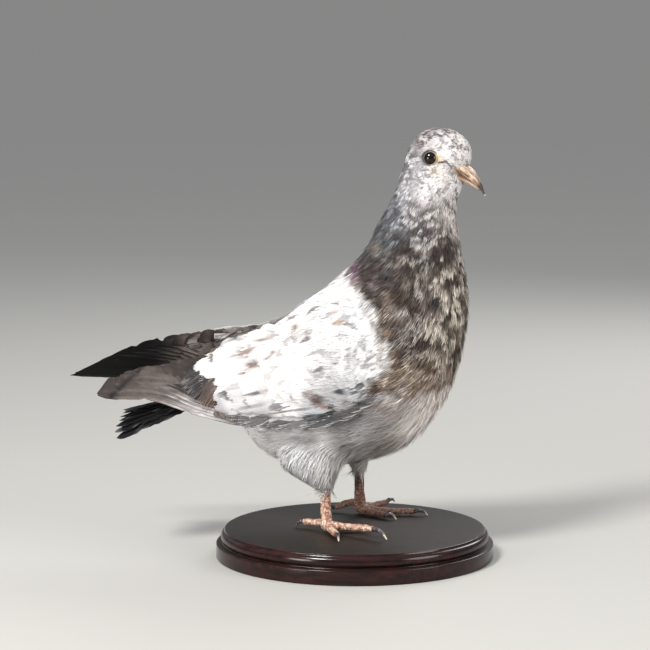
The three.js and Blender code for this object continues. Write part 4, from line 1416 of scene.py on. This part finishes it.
def tail_feathers():
    """Twelve tail feathers in a shallow roof, with frayed pale tips and pale streaks of painted sheen, spread
    into two groups.
    """
    points, faces = node_mesh("tail")
    tree = tree_of(points, faces)
    blades = Blades(TAIL_FEATHERS)
    low, high = points.min(0), points.max(0)
    rows = 30
    centre = (TAIL_FEATHERS - 1) / 2
    order = sorted(range(TAIL_FEATHERS), key=lambda k: -abs(k - centre))
    for layer, k in enumerate(order):
        part = (k - centre) / centre
        t, profile = blade_profile(rows, 0.12, 0.5)
        length = (high[0] - low[0]) * (0.985 - 0.05 * rng.random() - 0.035 * (1 - abs(part)))
        x = high[0] - 4 - (length - 4) * t
        y = part * (6 + 16.5 * t**0.9)
        spots = []
        for a, b in zip(x.tolist(), y.tolist()):
            hit = tree.ray_cast((a, b, 200.0), (0, 0, -1))[0] or tree.find_nearest((a, b, 100.0))[0]
            spots.append(hit[2])
        middle = np.column_stack([x, y, evened(spots, 4) + 0.15 * layer - 1.2])
        normals = np.tile(unit(np.array([0.2, part * 0.5, 1.0])), (rows, 1))
        half = 5.2 * 0.9 * profile
        blade, column = vane(middle, normals, half, half, 9, 0.3, 0.45)
        dark, mid, pale = np.array([(7.0, 6, 7), (15, 14, 15), (112, 114, 118)])
        colours = mix(mid, dark, smoothstep(0.35, 0.9, t)[:, None])
        # painted sheen: pale streaks along the black feathers
        cloud = noise(blade, (11.0, 1.6, 1.6), 61 + k)
        colours = mix(colours, pale, smoothstep(0.68, 0.82, cloud) * smoothstep(0.3, 0.6, t)[:, None] * 0.75)
        frayed = smoothstep(0.965, 1.0, t)[:, None] * (rng.random(len(column)) > 0.4)
        colours = mix(colours, pale * 0.85, frayed * 0.7)
        blades.add(blade, column, colours)
    blades.build("tail_feathers", "tail")


# ------------------------------------------------------------------ head: eyes, lids and bill

HEAD_SIDE = unit(np.array(eye_line))  # towards the bird's left
HEAD_AHEAD = unit(np.array([HEAD_SIDE[1], -HEAD_SIDE[0], 0.0]))
UP = np.array([0.0, 0.0, 1.0])
EYE_OPENING = 4.1  # radius of the opening between the lids


def eye_frame(side_name):
    """Centre and radius of an eye, and the directions forward, up and out of its opening."""
    low, high = (np.array(corner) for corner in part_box("eye_" + side_name))
    centre = to_bird((low + high) / 2)
    radius = (high - low).max() / 2 / MM
    out = unit(HEAD_SIDE * SIDES[side_name] + 0.12 * HEAD_AHEAD + 0.03 * UP)
    ahead = unit(HEAD_AHEAD - out * (HEAD_AHEAD * out).sum())
    return centre, radius, ahead, np.cross(out, ahead) * -SIDES[side_name], out


def from_eye(points, side_name):
    """How far forward and up from the middle of an eye each point lies, and how far out."""
    centre, _, ahead, up, out = eye_frame(side_name)
    away = points - centre
    return away @ ahead, away @ up, away @ out


def bare_reach(turn):
    """How far the bare skin reaches from the middle of the eye, by direction: 0 is forward, positive up."""
    ring = 4.9 + 0.6 * bell(turn, -0.7, 0.8)
    patch = 5.0 * bell(turn, -0.1, np.where(turn > -0.1, 0.55, 0.3))
    return ring + patch


def bare(points, margin):
    """Which points lie within the bare skin round either eye."""
    found = np.zeros(len(points), bool)
    for side_name in SIDES:
        forward, up, out = from_eye(points, side_name)
        near = np.hypot(forward, up) < bare_reach(np.arctan2(up, forward)) + margin
        found |= near & (out > -4)
    return found


BILL_ROOT = node_mesh("bill_upper")[0]
BILL_ROOT = BILL_ROOT[BILL_ROOT @ HEAD_AHEAD < (BILL_ROOT @ HEAD_AHEAD).min() + 3].mean(0)


def by_bill(points):
    """Which points of the face lie on the horn and the bare skin at the root of the bill."""
    away = points - BILL_ROOT
    ahead, up = away @ HEAD_AHEAD, away[:, 2]
    return (up < 2.4) & (up > -11) & (ahead > -3.6 + (2.4 - up) * 0.6)


def glass_material():
    material, shader, nodes = new_material("glass_eye", (0.003, 0.0025, 0.0025), 0.04)
    rim = nodes.noise(260.0, 2.0)
    nodes.link(nodes.mixed(rim, (0.002, 0.0018, 0.0018), (0.007, 0.004, 0.003)), shader.inputs["Base Color"])
    nodes.link(nodes.span(rim, 0.3, 0.7, 0.03, 0.06), shader.inputs["Roughness"])
    shader.inputs["Specular IOR Level"].default_value = 0.4
    return material


def painted_material(name, roughness, grain, depth, scale):
    """Bare skin or horn: the stored marking with a fine grain."""
    material, shader, nodes = new_material(name, (0.5, 0.4, 0.35), roughness)
    fine = nodes.noise(scale, 3.0, nodes.place())
    shade = nodes.span(fine, 0.3, 0.7, 1 - grain, 1 + grain)
    nodes.link(nodes.shaded(nodes.marking(), shade), shader.inputs["Base Color"])
    nodes.link(nodes.span(fine, 0.3, 0.7, roughness - 0.08, roughness + 0.1), shader.inputs["Roughness"])
    nodes.link(nodes.bump(fine, depth, 0.6), shader.inputs["Normal"])
    return material


def ball(centre, radius, segments=40, rings=24):
    """Points and three-sided faces of a ball."""
    polar = np.linspace(0, np.pi, rings + 1)[1:-1]
    turn = 2 * np.pi * np.arange(segments) / segments
    ring = np.stack([np.outer(np.sin(polar), np.cos(turn)), np.outer(np.sin(polar), np.sin(turn)),
                     np.outer(np.cos(polar), np.ones(segments))], -1).reshape(-1, 3)
    points = np.concatenate([ring, [[0, 0, 1], [0, 0, -1]]]) * radius + centre
    faces = []
    for j in range(rings - 2):
        for i in range(segments):
            a, b = j * segments + i, j * segments + (i + 1) % segments
            faces += [(a, a + segments, b), (b, a + segments, b + segments)]
    top, bottom, last = len(points) - 2, len(points) - 1, (rings - 2) * segments
    for i in range(segments):
        faces += [(top, i, (i + 1) % segments), (bottom, last + (i + 1) % segments, last + i)]
    return points, faces


def add_eye(side_name, skin, glass, bare_skin):
    """An eyeball, and the bare skin round it as rings from the opening of the lids out to the feathers."""
    centre, radius, ahead, up, out = eye_frame(side_name)
    points, faces = ball(centre, radius * 0.985)
    add_piece("eyeball_" + side_name, points, faces, glass, ["eye_" + side_name])
    turns, rings = 120, 19
    turn = 2 * np.pi * np.arange(turns) / turns
    angle = np.where(turn > np.pi, turn - 2 * np.pi, turn)
    spread = bare_reach(angle)
    inner = EYE_OPENING * (1 + 0.05 * np.sin(turn) ** 2)
    flat = np.outer(np.cos(turn), ahead) + np.outer(np.sin(turn), up)
    rows, tints = [], []
    for k in range(rings):
        share = k / (rings - 1)
        reach = inner + (spread - inner) * share**1.4
        foot = centre + flat * reach[:, None]
        on_ball = np.sqrt(np.maximum(radius**2 - reach**2, 0.0))
        height = []
        for spot in (foot + out * 14).tolist():
            hit = skin.outer_tree.ray_cast(spot, (-out).tolist())
            height.append(14 - hit[3] if hit[0] is not None else 2.0)
        height = np.array(height) - 0.45
        lift = np.maximum(height, on_ball + 0.22)
        lift += 0.25 * bell(reach - inner, 0.45, 0.3) - 0.9 * smoothstep(0.88, 1, share)
        across, above = reach * np.cos(turn), reach * np.sin(turn)
        line = -2.9 - 0.12 * (across - 5.8)
        crease = bell(above, line, 0.34) * smoothstep(4.6, 5.6, across)
        lift -= 0.35 * crease
        grain = noise(foot, 0.75, 31) - 0.5
        lift += 0.2 * grain * smoothstep(0, 0.2, share)
        if k == 0:
            rows.append(centre + flat * (inner * 0.985)[:, None] + out * (on_ball - 0.6)[:, None])
            tints.append(np.tile([40.0, 32, 30], (turns, 1)))
        rows.append(foot + out * lift[:, None])
        tint = mix((164, 146, 120), (196, 184, 168), smoothstep(0.15, 0.5, share))
        below = smoothstep(-0.2, -0.8, np.sin(turn)) + smoothstep(0.6, 0.95, np.cos(turn)) * (reach < 6.2)
        tint = layered(
            tint,
            ((186, 156, 104), np.clip(below, 0, 1) * 0.65 * smoothstep(0.9, 0.3, share)),
            ((128, 116, 108), smoothstep(0.3, 0.9, np.sin(turn)) * 0.6),
        )
        behind = smoothstep(0.3, -0.4, np.cos(turn))
        tint = layered(
            tint,
            ((96, 86, 82), behind * 0.75),
            # partly painted shade: the crease, sunk above, is painted dark as well
            ((92, 62, 54), np.clip(crease, 0, 1) * 0.85),
            ((48, 38, 36), bell(reach, inner, 0.22) * 0.85),
        )
        tints.append(tint * (1 + 0.2 * grain)[:, None])
    add_piece("lids_" + side_name, np.concatenate(rows), ring_faces(len(rows), turns), bare_skin,
              levels=np.concatenate(tints))


def add_bill(horn):
    """Both halves of the bill, the lower one swelled a little so that it fits up under the upper one."""
    upper = node_mesh("bill_upper")[0]
    root = BILL_ROOT
    tip = upper[upper[:, 2].argmin()]
    along_axis = unit(tip - root)
    reach = np.linalg.norm(tip - root)
    top_axis = unit(np.cross(HEAD_SIDE, along_axis))
    if top_axis[0] < 0:
        top_axis = -top_axis
    for name, swell in (("bill_upper", 0.0), ("bill_lower", 0.3)):
        points, faces = node_mesh(name)
        points, faces = remeshed(swelled(points, faces, 0.1), faces, BILL_VOXEL, 3)
        points = swelled(points, faces, swell)
        away = points - root
        along = away @ along_axis / reach
        aside, top = away @ HEAD_SIDE, away @ top_axis
        outward, beside = np.sign(aside), np.abs(aside)
        # broader towards the face, and fleshy over the nostril
        wide = smoothstep(0.75, 0.05, along)
        points = shifted(points, HEAD_SIDE, aside * 0.4 * wide)
        if name == "bill_upper":
            deeper = np.minimum(top, 0) * (0.5 * wide + 0.35) * smoothstep(1.0, 0.8, along)
            jaw = smoothstep(0.0, -1.4, top) * smoothstep(0.95, 0.2, along)
            points = shifted(points, top_axis, deeper - 1.2 * jaw)
        else:
            closed = smoothstep(0.1, 0.7, along) - 0.3 * wide
            points = shifted(points, top_axis, closed)
            points = shifted(points, along_axis, -2.4 * np.clip(along, 0, 1))
        points = shifted(points, along_axis, -5.0 * smoothstep(0.3, 0.0, along) * smoothstep(1.5, -0.5, top))
        gape = smoothstep(0.35, 0.0, along) * smoothstep(1.0, -1.5, top)
        points = shifted(points, HEAD_SIDE, outward * gape * smoothstep(0.3, 1.5, beside))
        points = shifted(points, UP, -1.5 * np.clip(along, 0, 1) ** 2)
        fleshy = bell(along, 0.12, 0.13) * smoothstep(0.5, 3.0, top) * smoothstep(1.0, 3.0, beside)
        points = shifted(points, HEAD_SIDE, outward * 0.5 * fleshy * (name == "bill_upper"))
        stretched = np.column_stack([away @ along_axis / 7.0, aside, top])
        streaks = noise(stretched, 0.55, 51)
        broad = noise(stretched, 1.4, 52)
        tint = mix((196, 172, 150), (148, 120, 98), smoothstep(0.35, 0.7, streaks))
        tint = layered(
            tint,
            ((108, 84, 68), smoothstep(0.52, 0.74, broad) * 0.8),
            ((192, 166, 154), smoothstep(0.45, 0.72, along) * smoothstep(3.2, 1.0, top) * 0.6),
            ((232, 216, 196), smoothstep(0.58, 0.8, noise(stretched, 1.0, 53)) * 0.6),
        )
        if name == "bill_upper":
            front = smoothstep(-0.3, 0.7, top - 3.0 * (1 - along))
            tint = layered(
                tint,
                ((48, 40, 40), smoothstep(0.6, 0.74, along) * front * 0.95),
                ((70, 58, 54), smoothstep(0.82, 0.9, along) * 0.6),
                ((208, 204, 178), smoothstep(0.95, 0.99, along)),
            )
            # painted shade: the nostril slit is sunk a little and painted dark, for the shade inside it
            slit = np.hypot((along - 0.3) * reach / 2.3, (top - 1.6 + 3 * (along - 0.3)) / 0.4)
            hole = smoothstep(1.1, 0.5, slit) * (beside > 1.5)
            tint = mix(tint, (64, 40, 32), hole * 0.85)
            points = swelled(points, faces, -0.35 * hole[:, None])
            mouth = smoothstep(0.7, 0.1, top) * smoothstep(0.95, 0.8, along)
            tint = mix(tint, (104, 76, 62), mouth * 0.4)
        else:
            tint = layered(
                tint,
                ((168, 142, 124), 0.35),
                ((92, 70, 60), smoothstep(0.7, 0.95, along) * 0.6),
            )
        points = swelled(points, faces, 0.08 * (streaks - 0.5)[:, None])
        add_piece(name + "_horn", points, faces, horn, [name], tint)


# ------------------------------------------------------------------ legs and claws


def add_legs(leg_skin, claw_horn):
    for side_name, side in SIDES.items():
        points, faces = node_mesh("foot_" + side_name)
        shank_top = points[:, 2].max()
        pad = points[(points[:, 2] > 7) & (points[:, 2] < 20)].mean(0)
        drop, drop_faces = ball(pad + np.array([-3.0, 0, 0]), 1.0, 16, 10)
        floor = points[:, 2].min()
        drop = (drop - drop.mean(0)) * (3.6, 2.2, 1.1) + (pad[0] - 2.8, pad[1] - 3.0, floor + 1.0)
        points, faces = remeshed(np.concatenate([points, drop]),
                                 np.concatenate([faces, np.array(drop_faces) + len(points)]), LEG_VOXEL, 4)
        normals = vertex_normals(points, faces)
        height = points[:, 2]
        from_pad = np.linalg.norm((points - pad)[:, :2], axis=1)
        on_toe = smoothstep(4.5, 7.0, from_pad) * smoothstep(14, 9, height)
        rung = np.where(on_toe > 0.5, from_pad / 2.1, height / 1.9)
        groove = np.abs((rung + 0.4 * noise(points, 2.4, 71)) % 1 - 0.5) * 2
        upward = np.where(on_toe > 0.5, normals[:, 2], normals[:, 0])
        scutes = smoothstep(-0.1, 0.5, upward)
        granules = noise(points, 0.85, 72)
        joints = on_toe * (0.5 - np.abs((from_pad / 8.5) % 1 - 0.5))
        points = points + normals * (
            0.2 * scutes * smoothstep(0.0, 0.45, groove) + 0.42 * (1 - scutes) * (granules - 0.4)
            + 0.4 * (noise(points, 3.2, 73) - 0.5) - 0.7 * joints)[:, None]
        cream, tan = (204, 178, 154), (164, 122, 102)
        red, plum = (112, 54, 44), (50, 36, 38)
        tint = mix(cream, tan, smoothstep(0.35, 0.65, noise(points, 2.0, 74)))
        shank = smoothstep(8, 13, height) * (1 - on_toe)
        blotch = smoothstep(0.42, 0.62, noise(points * (1, 1, 0.6), 1.3, 75 + side))
        forward = smoothstep(-0.5, 0.6, normals[:, 0])
        tint = layered(
            tint,
            (red, blotch * (0.4 + 0.6 * shank * (0.3 + 0.7 * forward)) * 0.8),
            ((168, 120, 76), shank * smoothstep(0.5, 0.8, noise(points, 3.5, 77)) * 0.5),
        )
        # painted shade and highlight: the far leg is darker all over and plum-dark at the top of its back,
        # with bronze patches as painted highlights
        if side == LEFT:
            tint = layered(
                tint,
                ((84, 52, 42), 0.4 + 0.35 * noise(points, 2.0, 78)),
                ((150, 124, 96), smoothstep(0.55, 0.75, noise(points, 1.6, 79)) * 0.55),
            )
            dark = smoothstep(17, 24, height) * smoothstep(0.35, -0.2, normals[:, 0])
            tint = mix(tint, plum, np.clip(dark + 0.3 * smoothstep(20, 30, height), 0, 1) * 0.9)
        tint = layered(
            tint,
            ((74, 46, 40), (1 - smoothstep(0.0, 0.3, groove)) * scutes * 0.65),
            ((70, 44, 38), smoothstep(0.42, 0.25, granules) * (1 - scutes) * 0.6),
            ((238, 222, 204), smoothstep(0.6, 0.78, granules) * 0.6 * (1 - 0.5 * (side == LEFT))),
            ((222, 206, 170), smoothstep(2.6, 1.2, height) * smoothstep(9, 5, from_pad) * 0.8),
            # painted shade: darker at the top of the shank, under the thigh feathers
            ((80, 58, 52), smoothstep(shank_top - 8, shank_top - 2, height) * 0.5),
        )
        add_piece("leg_" + side_name, points, faces, leg_skin, ["foot_" + side_name], tint)
        add_claws(side_name, pad, claw_horn)


def add_claws(side_name, pad, claw_horn):
    for toe in ("middle", "outer", "inner", "hind"):
        name = f"claw_{side_name}_{toe}"
        points, faces = node_mesh(name)
        away = np.linalg.norm(points - pad, axis=1)
        tip, root = points[away.argmax()], points[away.argmin()]
        points, faces = remeshed(swelled(points, faces, 0.12), faces, CLAW_VOXEL, 2)
        share = (points - root) @ unit(tip - root) / np.linalg.norm(tip - root)
        speck = noise(points, 1.1, 81)
        tint = mix((96, 84, 90), (52, 44, 44), smoothstep(0.35, 0.65, speck))
        pale = smoothstep(0.62, 0.95, share + 0.2 * (speck - 0.5))
        tint = mix(tint, (212, 200, 172), pale * (0.95 if toe != "hind" else 0.2))
        add_piece(name + "_horn", points, faces, claw_horn, [name], tint)


# ------------------------------------------------------------------ everything together

bpy.context.scene.view_settings.view_transform = "Standard"
add_camera()
add_stage()
add_plinth()

PLUMAGE = plumage_material()
FLIGHT = vane_material()
BARE_SKIN = painted_material("bare_skin", 0.6, 0.06, 0.00012, 1400.0)
the_skin = Skin()
add_skin(the_skin)
add_coat(the_skin)
for side_name in SIDES:
    wing_feathers(side_name)
tail_feathers()
glass = glass_material()
for side_name in SIDES:
    add_eye(side_name, the_skin, glass, BARE_SKIN)
add_bill(painted_material("bill_horn", 0.38, 0.08, 0.0001, 900.0))
leg_skin = painted_material("leg_skin", 0.55, 0.1, 0.0002, 1300.0)
claw_horn = painted_material("claw_horn", 0.35, 0.1, 0.0001, 1100.0)
add_legs(leg_skin, claw_horn)
